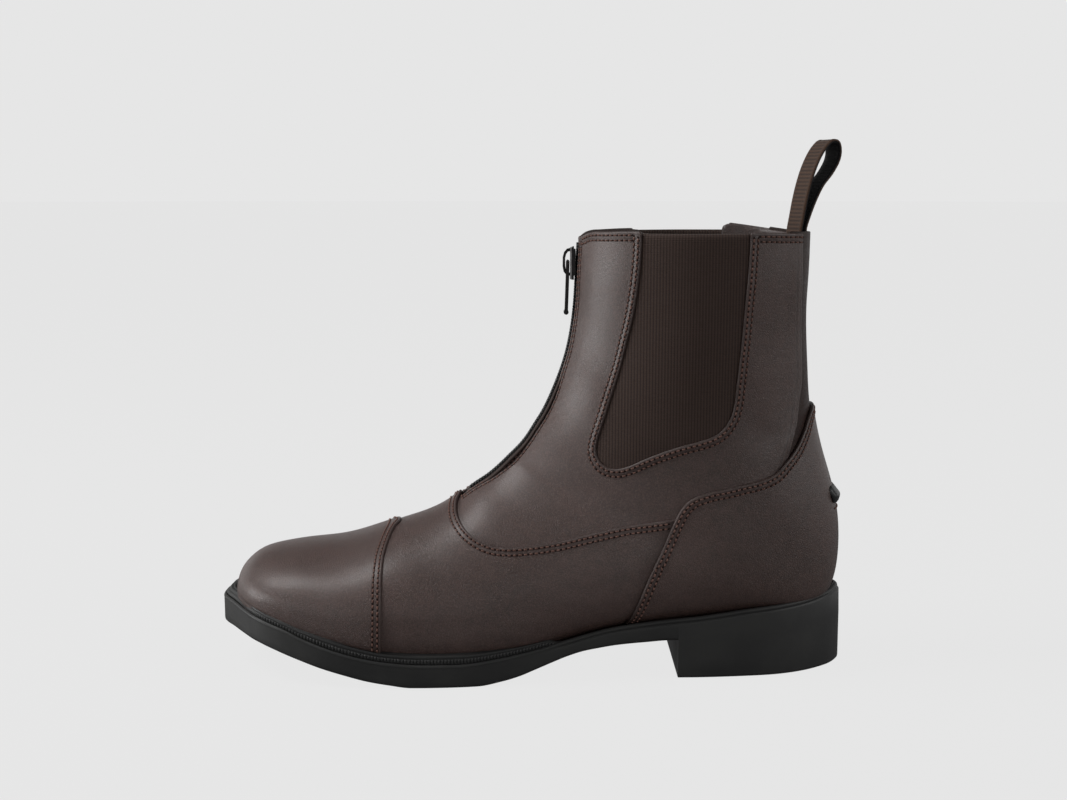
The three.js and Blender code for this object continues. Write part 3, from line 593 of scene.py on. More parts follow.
def panel(name, fields, out, back, material, replaces=(), radius=EDGE_R, fine=3.2, grid=None, edge_of=None, turns=3):
    """A sheet of leather on the last, with rounded edges: fields gives the distance inside its edge, out the height of its
    face and back the height of its back, both above the quarter's face."""
    u, v, tris = grid[0] if grid else GRID
    base = grid[1] if grid else GRID_SKIN
    f = fields(base)
    keep = (f[tris] > -3.0).any(1)
    tris = tris[keep]
    if fine:
        band = (f < fine) & (f > -1.0)
        n0 = len(u)
        u, v, tris = refine(u, v, tris, band)
        extra = Skin(u[n0:], v[n0:])
        f = np.concatenate([f, fields(extra)])
    tris, a, b, share, border = clip(tris, f - radius)
    used = np.unique(tris)
    uc = u[a] + (u[b] - u[a]) * share
    vc = mix_v(v[a], v[b], share)
    vc = np.where(u[a] == 0, v[b], np.where(u[b] == 0, v[a], vc))
    U = np.concatenate([u, uc])
    V = np.concatenate([v, vc])
    remap = np.full(len(U), -1)
    remap[used] = np.arange(len(used))
    U, V = U[used], V[used]
    tris, border = remap[tris], remap[border]
    skin = Skin(U, V)
    F = fields(skin)
    D = unevenness(skin.P)
    top_h = out(skin) if callable(out) else np.full(len(U), float(out))
    back_h = back(skin) if callable(back) else np.full(len(U), float(back))
    top = skin.P + skin.n * (top_h + D)[:, None]
    low = skin.P + skin.n * (back_h + D)[:, None]
    ring = np.unique(border)
    where = np.full(len(U), -1)
    where[ring] = np.arange(len(ring))
    rim = Skin(U[ring], V[ring])
    away = gradient_out(rim, fields)
    P = [top]
    A = [np.clip(edge_of(skin) if edge_of else F, 0, 40)]
    layers = [ring]
    count = len(top)
    th, bh, dd = top_h[ring], back_h[ring], D[ring]
    r = np.minimum(radius, (th - bh) * 0.48)
    for k in range(1, turns + 1):
        t = math.pi / 2 * k / turns
        P.append(rim.P + away * (radius * math.sin(t)) + rim.n * (th + dd - r + r * math.cos(t))[:, None])
        A.append(np.full(len(ring), radius * (1 - math.sin(t))))
        layers.append(count + np.arange(len(ring)))
        count += len(ring)
    # the back face has its own points, its border moved out to the edge
    low_edge = rim.P + away * radius + rim.n * (bh + dd)[:, None]
    low[ring] = low_edge
    P.append(low)
    A.append(np.full(len(low), 0.0))
    base_low = count
    faces = [tris]
    p, q = where[border[:, 0]], where[border[:, 1]]
    sides = []
    for k in range(len(layers) - 1):
        up, dn = layers[k], layers[k + 1]
        sides.append(np.stack([up[q], up[p], dn[p], dn[q]], 1))
    dn = layers[-1]
    sides.append(np.stack([dn[q], dn[p], base_low + ring[p], base_low + ring[q]], 1))
    faces.append(base_low + tris[:, ::-1])
    faces.append(np.vstack(sides))
    o = make(name, np.vstack(P), faces, material, replaces=replaces, attributes={"edge": np.concatenate(A)})
    print(name, sum(len(x) * (x.shape[1] - 2) for x in faces))
    return o


def rows_of(fields, level, height, where=None, grid=None):
    """Lines on the leather where a field has one value: a list of (points, normals), each in order."""
    u, v, tris = grid[0] if grid else GRID
    base = grid[1] if grid else GRID_SKIN
    f = fields(base) - level
    hit = (f[tris] > 0).any(1) & (f[tris] <= 0).any(1)
    tris, a, b, share, border = clip(tris[hit], f)
    uc = u[a] + (u[b] - u[a]) * share
    vc = mix_v(v[a], v[b], share)
    skin = Skin(uc, vc)
    ok = np.ones(len(uc), bool) if where is None else where(skin)
    h = height(skin) if callable(height) else np.full(len(uc), float(height))
    pts = skin.P + skin.n * (h + unevenness(skin.P))[:, None]
    border = border - len(u)
    nxt = {}
    for p, q in border:
        nxt[int(p)] = int(q)
    starts = set(nxt) - set(nxt.values())
    lines = []
    seen = set()
    for s in list(starts) + list(nxt):
        if s in seen:
            continue
        line = [s]
        seen.add(s)
        c = s
        while c in nxt and nxt[c] not in seen:
            c = nxt[c]
            seen.add(c)
            line.append(c)
        if c in nxt and nxt[c] == s and len(line) > 3:
            line.append(s)
        cur = []
        for k in line:
            if ok[k]:
                cur.append(k)
            else:
                if len(cur) > 6:
                    lines.append(cur)
                cur = []
        if len(cur) > 6:
            lines.append(cur)
    return [(pts[l], skin.n[l]) for l in lines]


STITCHES = {"P": [], "F": [], "M": [], "n": 0}


def sew(lines, length=STITCH, thread=0.40, gap=0.80, rise=0.02, trim=0.0):
    """A row of stitches along each line: short bowed threads with a dark disc at each end, painted shade of the stitch
    hole.
    """
    for pts, nrm in lines:
        s = np.concatenate([[0], np.cumsum(np.linalg.norm(np.diff(pts, axis=0), axis=1))])
        total = s[-1] - 2 * trim
        n = int(total / length)
        if n < 1:
            continue
        step = total / n

        def at(d):
            p = np.stack([np.interp(d, s, pts[:, k]) for k in range(3)], -1)
            m = np.stack([np.interp(d, s, nrm[:, k]) for k in range(3)], -1)
            return p, m / np.linalg.norm(m, axis=-1, keepdims=True)

        start = trim + np.arange(n) * step
        shares = np.array([0.0, 0.14, 0.38, 0.62, 0.86, 1.0])
        highs = np.array([-0.30, 0.02, 0.16, 0.16, 0.02, -0.30]) + rise
        wides = np.array([0.5, 0.92, 1.0, 1.0, 0.92, 0.5])
        d = start[:, None] + gap / 2 + shares[None] * (step - gap)
        p, m = at(d)
        q, _ = at(d + 0.05)
        t = q - p
        t /= np.maximum(np.linalg.norm(t, axis=-1, keepdims=True), 1e-9)
        side = np.cross(m, t)
        side /= np.maximum(np.linalg.norm(side, axis=-1, keepdims=True), 1e-9)
        c = p + m * highs[None, :, None]
        ang = np.arange(6) * math.pi / 3 + math.pi / 6
        ring = (c[:, :, None] + side[:, :, None] * (np.cos(ang) * thread)[None, None, :, None] * wides[None, :, None, None]
                + m[:, :, None] * (np.sin(ang) * thread * 0.85)[None, None, :, None] * wides[None, :, None, None])
        k = ring.shape[1]
        base = STITCHES["n"] + np.arange(n)[:, None, None] * (k * 6)
        i, j = np.meshgrid(np.arange(k - 1), np.arange(6), indexing="ij")
        f = np.stack([i * 6 + j, (i + 1) * 6 + j, (i + 1) * 6 + (j + 1) % 6, i * 6 + (j + 1) % 6], -1).reshape(1, -1, 4)
        quads = (base + f).reshape(-1, 4)
        ends = np.array([[0, 1, 2, 3], [0, 3, 4, 5]])
        e1 = (base + ends[None]).reshape(-1, 4)
        e2 = (base + (k - 1) * 6 + ends[None, :, ::-1]).reshape(-1, 4)
        STITCHES["P"].append(ring.reshape(-1, 3))
        STITCHES["F"] += [quads, e1, e2]
        STITCHES["M"] += [np.zeros(len(quads) + len(e1) + len(e2), int)]
        STITCHES["n"] += n * k * 6
        # holes: dark discs just proud of the leather, painted shade of the stitch holes
        hd = np.concatenate([start, [start[-1] + step]])
        p, m = at(hd)
        q, _ = at(np.minimum(hd + 0.05, s[-1]))
        q2, _ = at(np.maximum(hd - 0.05, 0))
        t = q - q2
        t /= np.maximum(np.linalg.norm(t, axis=-1, keepdims=True), 1e-9)
        side = np.cross(m, t)
        h = len(hd)
        ang = np.arange(8) * math.pi / 4
        rim = p[:, None] + side[:, None] * (np.cos(ang) * 0.46)[None, :, None] + t[:, None] * (np.sin(ang) * 0.54)[None, :, None] + m[:, None] * 0.035
        below = rim - m[:, None] * 0.4
        pts2 = np.concatenate([rim, below], 1).reshape(-1, 3)
        base = STITCHES["n"] + np.arange(h)[:, None, None] * 16
        j = np.arange(8)
        wall = np.stack([j, j + 8, (j + 1) % 8 + 8, (j + 1) % 8], -1)
        lid = np.array([[0, 1, 2, 3], [0, 3, 4, 5], [0, 5, 6, 7]])
        bottom = lid[:, ::-1] + 8
        f = (base + np.vstack([wall, lid, bottom])[None]).reshape(-1, 4)
        STITCHES["P"].append(pts2)
        STITCHES["F"].append(f)
        STITCHES["M"].append(np.ones(len(f), int))
        STITCHES["n"] += h * 16


def finish_stitches(name, materials):
    if not STITCHES["P"]:
        return None
    P = np.vstack(STITCHES["P"])
    F = np.vstack(STITCHES["F"])
    o = make(name, P, F, materials, picks=np.concatenate(STITCHES["M"]))
    print(name, len(F) * 2)
    STITCHES.update({"P": [], "F": [], "M": [], "n": 0})
    return o


# ------------------------------------------------------------------ materials
class Nodes:
    """A material's nodes, with the shader made and its steady values set on its own sockets."""

    def __init__(self, name, **fixed):
        self.mat = bpy.data.materials.new(name)
        self.mat.use_nodes = True
        self.t = self.mat.node_tree
        self.t.nodes.clear()
        out = self.new("ShaderNodeOutputMaterial")
        self.b = self.new("ShaderNodeBsdfPrincipled")
        self.t.links.new(self.b.outputs[0], out.inputs[0])
        for key, value in fixed.items():
            self.b.inputs[key.replace("_", " ")].default_value = value
        self.place = self.new("ShaderNodeTexCoord").outputs["Object"]

    def new(self, kind):
        return self.t.nodes.new(kind)

    def link(self, a, b):
        if hasattr(a, "links"):
            self.t.links.new(a, b)
        else:
            b.default_value = a

    def noise(self, scale, detail=2.0, rough=0.5, stretch=None, distortion=0.0):
        n = self.new("ShaderNodeTexNoise")
        n.inputs["Scale"].default_value = scale
        n.inputs["Detail"].default_value = detail
        n.inputs["Roughness"].default_value = rough
        n.inputs["Distortion"].default_value = distortion
        self.t.links.new(self.stretched(stretch), n.inputs["Vector"])
        return n.outputs["Fac"]

    def stretched(self, stretch):
        if stretch is None:
            return self.place
        m = self.new("ShaderNodeMapping")
        m.inputs["Scale"].default_value = stretch
        self.t.links.new(self.place, m.inputs["Vector"])
        return m.outputs[0]

    def cells(self, scale, feature="DISTANCE_TO_EDGE", stretch=None, vector=None):
        n = self.new("ShaderNodeTexVoronoi")
        n.feature = feature
        n.inputs["Scale"].default_value = scale
        self.t.links.new(vector or self.stretched(stretch), n.inputs["Vector"])
        return n.outputs["Distance"]

    def waves(self, scale, axis="X", stretch=None, distortion=0.0):
        n = self.new("ShaderNodeTexWave")
        n.bands_direction = axis
        n.inputs["Scale"].default_value = scale
        n.inputs["Distortion"].default_value = distortion
        self.t.links.new(self.stretched(stretch), n.inputs["Vector"])
        return n.outputs["Fac"]

    def math(self, op, a, b=None, c=None):
        n = self.new("ShaderNodeMath")
        n.operation = op
        self.link(a, n.inputs[0])
        if b is not None:
            self.link(b, n.inputs[1])
        if c is not None:
            self.link(c, n.inputs[2])
        return n.outputs[0]

    def fit(self, x, a, b, c, d, soft=True):
        n = self.new("ShaderNodeMapRange")
        n.interpolation_type = "SMOOTHSTEP" if soft else "LINEAR"
        self.link(x, n.inputs[0])
        for k, value in zip((1, 2, 3, 4), (a, b, c, d)):
            n.inputs[k].default_value = value
        return n.outputs[0]

    def blend(self, share, a, b, way="MIX"):
        n = self.new("ShaderNodeMix")
        n.data_type = "RGBA"
        n.blend_type = way
        self.link(share, n.inputs[0])
        for value, socket in ((a, n.inputs[6]), (b, n.inputs[7])):
            if hasattr(value, "links"):
                self.t.links.new(value, socket)
            else:
                socket.default_value = (*value, 1.0)
        return n.outputs[2]

    def attribute(self, name):
        n = self.new("ShaderNodeAttribute")
        n.attribute_name = name
        return n.outputs["Fac"]

    def bump(self, height, strength=1.0):
        """height in metres"""
        n = self.new("ShaderNodeBump")
        n.inputs["Strength"].default_value = strength
        n.inputs["Distance"].default_value = 1.0
        self.t.links.new(height, n.inputs["Height"])
        self.t.links.new(n.outputs[0], self.b.inputs["Normal"])

    def colour(self, value):
        self.t.links.new(value, self.b.inputs["Base Color"])

    def rough(self, value):
        self.t.links.new(value, self.b.inputs["Roughness"])


def srgb(r, g, b, k=1.0):
    f = lambda c: ((c / 255 + 0.055) / 1.055) ** 2.4 if c > 10 else c / 255 / 12.92
    return (f(r) * k, f(g) * k, f(b) * k)


def leather(name, tone=1.0, seams=True, rows=(ROW_1, ROW_2), shine=1.0):
    m = Nodes(name, Specular_IOR_Level=0.58 * shine, Coat_Weight=0.28 * shine, Coat_Roughness=0.34)
    dark, mid, light = srgb(66, 48, 43, tone), srgb(75, 55, 50, tone), srgb(95, 72, 65, tone)
    patch = m.noise(26, 3, 0.55)
    fine = m.noise(260, 3, 0.6)
    colour = m.blend(m.fit(patch, 0.36, 0.66, 0, 1), dark, mid)
    colour = m.blend(m.fit(fine, 0.35, 0.75, 0.0, 0.35), colour, light)
    grain_v = m.new("ShaderNodeVectorMath")
    grain_v.operation = "ADD"
    wob = m.new("ShaderNodeTexNoise")
    wob.inputs["Scale"].default_value = 700
    m.t.links.new(m.place, wob.inputs["Vector"])
    sc = m.new("ShaderNodeVectorMath")
    sc.operation = "SCALE"
    sc.inputs[3].default_value = 0.0008
    m.t.links.new(wob.outputs["Color"], sc.inputs[0])
    m.t.links.new(m.place, grain_v.inputs[0])
    m.t.links.new(sc.outputs[0], grain_v.inputs[1])
    cell = m.cells(1150, vector=grain_v.outputs[0])
    furrow = m.fit(cell, 0.0, 0.16, 0, 1)
    pore = m.fit(m.noise(2600, 2, 0.5), 0.30, 0.52, 0, 1)
    colour = m.blend(m.fit(cell, 0.0, 0.10, 0.35, 0.0), colour, srgb(44, 32, 29, tone))
    height = m.math("MULTIPLY", furrow, 0.00009)
    height = m.math("MULTIPLY_ADD", pore, 0.000016, height)
    height = m.math("MULTIPLY_ADD", m.noise(1050, 2, 0.6), 0.00013, height)
    height = m.math("MULTIPLY_ADD", m.noise(90, 2, 0.5), 0.00012, height)
    speck = m.noise(1500, 2, 0.65)
    colour = m.blend(m.fit(speck, 0.34, 0.52, 0.30, 0.0), colour, srgb(38, 27, 25, tone))
    colour = m.blend(m.fit(speck, 0.50, 0.68, 0.0, 0.30), colour, srgb(112, 92, 85, tone))
    if seams:
        edge = m.attribute("edge")
        # darker along cut edges
        colour = m.blend(m.fit(edge, 0.0, 0.8, 0.45, 0.0), colour, srgb(46, 32, 29, tone))
        for row in rows:
            off = m.math("ABSOLUTE", m.math("SUBTRACT", edge, row))
            pull = m.fit(off, 0.0, 0.9, 1, 0)
            height = m.math("MULTIPLY_ADD", pull, -0.00016, height)
            # painted shade: darker in the trough that each stitch row pulls into the leather
            colour = m.blend(m.fit(off, 0.1, 0.8, 0.45, 0), colour, srgb(44, 30, 27, tone))
    m.colour(colour)
    m.rough(m.fit(m.math("MULTIPLY_ADD", fine, 0.5, m.math("MULTIPLY", patch, 0.5)), 0.32, 0.68, 0.44, 0.58))
    m.bump(height)
    return m.mat


def rubber(name, tone=1.0, gloss=0.5, ribbed=False):
    m = Nodes(name, Specular_IOR_Level=0.42)
    patch = m.noise(38, 4, 0.6)
    fine = m.noise(1900, 3, 0.6)
    colour = m.blend(m.fit(patch, 0.35, 0.68, 0, 1), srgb(38, 38, 38, tone), srgb(45, 45, 44, tone))
    if ribbed:
        # painted shade: near black in the grooves between the welt's ribs
        colour = m.blend(m.fit(m.attribute("rib"), 0.15, 0.8, 0.9, 0.0), colour, srgb(15, 15, 16))
    m.colour(colour)
    m.rough(m.fit(patch, 0.3, 0.7, gloss - 0.06, gloss + 0.07))
    m.bump(m.math("MULTIPLY_ADD", fine, 0.000018, m.math("MULTIPLY", m.noise(240, 2, 0.5), 0.00005)))
    return m.mat


def elastic(name):
    m = Nodes(name, Specular_IOR_Level=0.22, Sheen_Weight=0.12, Sheen_Roughness=0.5)
    rib = m.attribute("rib")
    weft = m.waves(420, "Z", distortion=0.6)
    dots = m.noise(1500, 2, 0.6)
    colour = m.blend(m.fit(rib, 0.0, 1.0, 0, 1), srgb(50, 38, 34), srgb(69, 54, 48))
    colour = m.blend(m.math("MULTIPLY", m.fit(weft, 0.25, 0.8, 0.0, 0.16), m.fit(dots, 0.35, 0.6, 0.2, 1)), colour, srgb(76, 61, 53))
    m.colour(colour)
    m.rough(m.fit(dots, 0.3, 0.7, 0.72, 0.9))
    m.bump(m.math("MULTIPLY_ADD", weft, 0.00010, m.math("MULTIPLY", dots, 0.00008)))
    return m.mat


def cloth(name, a, b, scale=1300, gloss=0.8):
    m = Nodes(name, Specular_IOR_Level=0.25, Sheen_Weight=0.10, Sheen_Roughness=0.5)
    one = m.waves(scale * 0.45, "X")
    two = m.waves(scale * 0.45, "Z")
    weave = m.math("MULTIPLY", one, two)
    spots = m.noise(scale, 2, 0.6)
    m.colour(m.blend(m.fit(m.math("ADD", weave, spots), 0.4, 1.3, 0, 1), a, b))
    m.rough(m.fit(spots, 0.3, 0.7, gloss - 0.08, gloss + 0.1))
    m.bump(m.math("MULTIPLY_ADD", weave, 0.00007, m.math("MULTIPLY", spots, 0.00005)))
    return m.mat


def webbing(name):
    m = Nodes(name, Specular_IOR_Level=0.25, Sheen_Weight=0.10, Sheen_Roughness=0.5)
    face = m.attribute("face")  # 1 on the loop's outer face, 0 on its inner face
    rib = m.attribute("rib")
    thread = m.noise(1700, 2, 0.6)
    brown = m.blend(m.fit(rib, 0.1, 0.9, 0, 1), srgb(44, 31, 24), srgb(70, 51, 40))
    brown = m.blend(m.fit(thread, 0.45, 0.7, 0, 0.5), brown, srgb(82, 63, 49))
    black = m.blend(m.fit(rib, 0.1, 0.9, 0, 1), srgb(13, 11, 12), srgb(22, 20, 21))
    m.colour(m.blend(m.fit(face, 0.45, 0.55, 0, 1), black, brown))
    m.rough(m.fit(thread, 0.3, 0.7, 0.7, 0.9))
    m.bump(m.math("MULTIPLY", thread, 0.00009))
    return m.mat


def thread(name):
    m = Nodes(name, Specular_IOR_Level=0.3)
    twist = m.noise(2400, 1, 0.4)
    m.colour(m.blend(m.fit(twist, 0.35, 0.65, 0, 1), srgb(88, 62, 54), srgb(122, 91, 81)))
    m.rough(m.fit(twist, 0.3, 0.7, 0.6, 0.8))
    m.bump(m.math("MULTIPLY", twist, 0.00005))
    return m.mat


def hole_shade(name):
    m = Nodes(name, Specular_IOR_Level=0.15)
    spots = m.noise(1500, 1, 0.4)
    # painted shade: the dark colour stands in for the shade inside the stitch holes
    m.colour(m.blend(spots, srgb(30, 19, 17), srgb(42, 28, 25)))
    m.rough(m.fit(spots, 0.3, 0.7, 0.75, 0.9))
    return m.mat


def metal(name, tone=1.0):
    m = Nodes(name, Metallic=0.55, Specular_IOR_Level=0.5)
    worn = m.noise(330, 3, 0.6)
    m.colour(m.blend(m.fit(worn, 0.4, 0.72, 0, 1), srgb(24, 22, 22, tone), srgb(50, 46, 45, tone)))
    m.rough(m.fit(worn, 0.3, 0.7, 0.30, 0.44))
    m.bump(m.math("MULTIPLY", m.noise(1400, 2, 0.5), 0.00002))
    return m.mat


QUARTER_LEATHER = leather("quarter_leather")
CAP_LEATHER = leather("cap_leather_look")
VAMP_LEATHER = leather("vamp_leather_look")
COUNTER_LEATHER = leather("counter_leather_look")
# half tone and dull: painted shade on the back strip, sunk under the quarter's rear edge
STRIP_SHADED_LEATHER = leather("strip_leather_painted_shade", tone=0.5, rows=(), shine=0.25)
LINING = leather("lining_leather", tone=0.75, seams=False)
SOLE = rubber("sole_look", 1.0, 0.52)
WELT = rubber("welt_look", 0.9, 0.5, ribbed=True)
SPUR = rubber("spur_look", 1.1, 0.46)
ELASTIC = elastic("elastic_look")
TAPE = cloth("tape_look", srgb(40, 29, 25), srgb(62, 47, 41))
TEETH = rubber("teeth_look", 1.15, 0.40)
METAL = metal("slider_look")
PULL = metal("pull_look", 1.1)
WEB = webbing("webbing_look")
THREAD = thread("thread_look")
HOLE_SHADE = hole_shade("hole_painted_shade")


# ------------------------------------------------------------------ the leather pieces
def quarter_field(k):
    f = np.minimum(k.get("collar"), -k.get("gusset"))
    f = np.minimum(f, k.get("zip"))
    f = np.minimum(f, 8.0 - k.get("throat"))
    f = np.minimum(f, 8.0 - k.get("counter"))
    f = np.minimum(f, k.get("strip"))
    return f


def quarter_out(k):
    h = 1.2 * (1 - smooth(k.get("strip"), 0, 10))  # the rear edge lies on the back strip
    h = h * smooth(k.get("counter"), 1, -6)
    roll_ = np.exp(-((-k.get("gusset") - 1.2) / 1.5) ** 2) * 0.42
    collar_roll = np.exp(-((k.get("collar") - 1.0) / 1.4) ** 2) * 0.22
    zip_roll = np.exp(-((np.minimum(k.get("zip"), 50) - 1.2) / 1.3) ** 2) * 0.25
    cover = smooth(k.get("throat"), 4, 0)
    return h + (roll_ + collar_roll + zip_roll) * cover


def strip_field(k):
    f = np.minimum(k.get("collar") + 0.8, 7.0 - k.get("strip"))
    return np.minimum(f, 9.0 - k.get("counter"))


def vamp_field(k):
    f = np.minimum(k.get("throat"), 7.0 - k.get("cap"))
    f = np.minimum(f, 9.0 - k.get("counter"))
    return np.minimum(f, k.get("feather") + 3.2)


def cap_field(k):
    return np.minimum(k.get("cap"), k.get("feather") + 3.2)


def counter_field(k):
    return np.minimum(k.get("counter"), k.get("feather") + 3.2)


def vamp_out(k):
    under = smooth(k.get("counter"), -4.5, 0.5)
    return VAMP_OUT - 0.95 * under + (1 - under) * 0.18 * np.exp(-((k.get("throat") - 1.0) / 1.4) ** 2)


def counter_out(k):
    return COUNTER_OUT + 0.16 * np.exp(-((k.get("counter") - 1.0) / 1.4) ** 2)


def cap_out(k):
    return CAP_OUT + 0.15 * np.exp(-((k.get("cap") - 1.0) / 1.4) ** 2)


def lining_field(k):
    f = np.minimum(k.get("collar") - 0.5, -k.get("gusset") + 3.0)
    return np.minimum(f, k.get("zip") - 0.3)


panel("quarters", quarter_field, quarter_out, lambda k: quarter_out(k) * 0.3 - LEATHER, QUARTER_LEATHER, replaces="upper")
panel("back_strip", strip_field, -0.25, -1.1, STRIP_SHADED_LEATHER, replaces="upper", fine=1.6)
panel("vamp_panel", vamp_field, vamp_out, -0.25, VAMP_LEATHER, replaces="vamp")
panel("toe_cap_panel", cap_field, cap_out, 0.3, CAP_LEATHER, replaces="toe_cap")
panel("counter_panel", counter_field, counter_out, -0.25, COUNTER_LEATHER, replaces="heel_counter")
COARSE = base_grid(130, 84)
COARSE = (COARSE, Skin(COARSE[0], COARSE[1]))
panel("lining", lining_field, -LEATHER - 0.1, -WALL, LINING, replaces="upper", radius=0.3, fine=1.2, grid=COARSE, turns=2)


# ------------------------------------------------------------------ stitches
def shown_quarter(k):
    return (k.get("throat") < -0.6) & (k.get("counter") < -0.6) & (k.get("strip") > 0.3)


for row in (ROW_1, ROW_2):
    # round the gusset
    sew(rows_of(lambda k: -k.get("gusset"), row, lambda k: quarter_out(k),
                lambda k: shown_quarter(k) & (k.get("collar") > 1.6) & (k.get("zip") > 1.0)))
    # beside the zip
    sew(rows_of(lambda k: k.get("zip"), row + 0.7, lambda k: quarter_out(k),
                lambda k: shown_quarter(k) & (k.get("collar") > 2.0) & (k.get("gusset") < -0.5) & (k.get("zip") < 50)))
    # along the vamp's upper edge
    sew(rows_of(lambda k: k.get("throat"), row, lambda k: vamp_out(k), lambda k: (k.get("counter") < -0.8) & (k.get("cap") < -2)))
    # along the toe cap
    sew(rows_of(lambda k: k.get("cap"), row, lambda k: cap_out(k), lambda k: k.get("feather") > 0.4))
    # along the counter
    sew(rows_of(lambda k: k.get("counter"), row + 0.2, lambda k: counter_out(k), lambda k: k.get("feather") > 0.4))
for row in (1.6, 3.8):
    # under the collar
    sew(rows_of(lambda k: k.get("collar"), row, lambda k: quarter_out(k),
                lambda k: shown_quarter(k) & (k.get("gusset") < -ROW_2 - 0.8) & (k.get("zip") > ROW_2 + 0.8)))
# under the spur rest
sew(rows_of(lambda k: k.P[:, 2] - 72.0, 0.0, lambda k: counter_out(k), lambda k: (k.P[:, 0] > 100) & (np.abs(k.P[:, 1]) < 11.5)), thread=0.42)
finish_stitches("stitches", [THREAD, HOLE_SHADE])


# ------------------------------------------------------------------ gussets
def on_surface(x, z, side):
    """The last's surface at a place seen from the side."""
    x, z = np.broadcast_arrays(np.asarray(x, float), np.asarray(z, float))
    shape = x.shape
    x, z = x.ravel(), z.ravel()
    u = np.interp(z, LAST[16:, 1], np.arange(16, len(LAST)).astype(float))
    v = np.full(len(x), 0.5 * side)
    for _ in range(14):
        p = S(u, v)
        e = 1e-3
        pu = (S(np.clip(u + e, 0, TOP_ROW), v) - p) / e
        pv = (S(u, v + e * side) - p) / e
        rx, rz = x - p[:, 0], z - p[:, 2]
        det = pu[:, 0] * pv[:, 2] - pu[:, 2] * pv[:, 0]
        det = np.where(np.abs(det) < 1e-6, 1e-6, det)
        a = (rx * pv[:, 2] - rz * pv[:, 0]) / det
        b = (pu[:, 0] * rz - pu[:, 2] * rx) / det
        u = np.clip(u + np.clip(a, -1.5, 1.5), 9, TOP_ROW - 0.01)
        v = v + side * np.clip(b, -0.12, 0.12)
        v = side * np.clip(np.abs(v), 0.06, 0.94)
    return u.reshape(shape), v.reshape(shape)


def gusset(name, side, node):
    line = catmull(GUSSET_LINE, per=10)
    half = len(line) // 2
    front = line[:half + 1]
    low = line[:, 1].argmin()
    front, rear = line[:low + 1], line[low:]
    zs = np.concatenate([np.linspace(91.5, 112, 15), np.linspace(113.6, 195.9, 50)])
    fx = np.interp(zs, front[::-1, 1], front[::-1, 0]) - 4.0
    rx = np.interp(zs, rear[:, 1], rear[:, 0]) + 4.0
    lowest = line[low]
    fx = np.where(zs < lowest[1] + 1, lowest[0] - 6, fx)
    rx = np.where(zs < lowest[1] + 1, lowest[0] + 8, rx)
    # ribs run up the panel, at even steps along x
    n = 360
    xs = np.linspace(22, 97, n)
    X, Z = np.meshgrid(xs, zs)
    X = np.clip(X, fx[:, None], rx[:, None])
    u, v = on_surface(X, Z, side)
    P, n_ = S(u, v), N(u, v)
    phase = (X - 22) / ELASTIC_RIB * 2 * np.pi
    rib = 0.5 + 0.5 * np.cos(phase)
    hem = smooth(Z, 194.6, 195.6)
    D = unevenness(P.reshape(-1, 3)).reshape(X.shape) * 0.8
    bulge = 0.35 * np.sin(np.clip((X - fx[:, None]) / (rx - fx)[:, None], 0, 1) * np.pi)
    h = GUSSET_OUT + 0.11 * (rib ** 0.6 - 1) * (1 - hem) + D + bulge - hem * 0.5
    top = P + n_ * h[..., None]
    low_ = P + n_ * (GUSSET_OUT - 1.2 + D + bulge - 0.2 * (rib ** 0.6 - 1))[..., None]
    r, c = X.shape
    i, j = np.meshgrid(np.arange(r - 1), np.arange(c - 1), indexing="ij")
    a, b, cc, d = i * c + j, i * c + j + 1, (i + 1) * c + j + 1, (i + 1) * c + j
    k = r * c
    f_top = np.stack([a, b, cc, d], -1).reshape(-1, 4)
    f_low = f_top[:, ::-1] + k
    def wall(seq):
        s = np.asarray(seq)
        return np.stack([s[1:], s[:-1], s[:-1] + k, s[1:] + k], 1)
    loop = np.concatenate([np.arange(c), np.arange(1, r) * c + c - 1, (r - 1) * c + np.arange(c - 2, -1, -1), np.arange(r - 2, -1, -1) * c])
    faces = np.vstack([f_top, f_low, wall(loop)])
    if side > 0:
        faces = faces[:, ::-1]
    return make(name, np.vstack([top.reshape(-1, 3), low_.reshape(-1, 3)]), faces, ELASTIC, replaces=node,
                attributes={"rib": np.concatenate([rib.ravel(), rib.ravel()])}, weld=0.02)


gusset("elastic_outer", -1, "gusset_lateral")
gusset("elastic_inner", 1, "gusset_medial")


# ------------------------------------------------------------------ the sole
outline = catmull(np.vstack([[RIM_TIP], RIM[:, :2], [RIM_HEEL], RIM[::-1][:, [0, 2]]]), closed=True, per=30)
outline[:, 0] += 1.2 * smooth(outline[:, 0], -115.0, -141.0)
_tip, _heel = outline[:, 0].argmin(), outline[:, 0].argmax()
outline = np.roll(outline, -_tip, axis=0)
_heel = outline[:, 0].argmax()
OUTER, INNER = outline[:_heel + 1], np.vstack([outline[_heel:], outline[:1]])[::-1]
X_TIP, X_HEEL = outline[0, 0], outline[_heel, 0]


def y_side(x, side):
    c = OUTER if side < 0 else INNER
    return np.interp(x, c[:, 0], c[:, 1])


def inset_points(points, d):
    """Moves points of a closed outline inwards by d (one number, or one for each)."""
    t = np.roll(points, -1, axis=0) - np.roll(points, 1, axis=0)
    t /= np.maximum(np.linalg.norm(t, axis=1, keepdims=True), 1e-9)
    n = np.stack([-t[:, 1], t[:, 0]], 1)
    area = (points[:, 0] * np.roll(points[:, 1], -1) - np.roll(points[:, 0], -1) * points[:, 1]).sum()
    return points + n * (np.sign(area) * np.asarray(d))[..., None] if np.ndim(d) else points + n * (np.sign(area) * d)


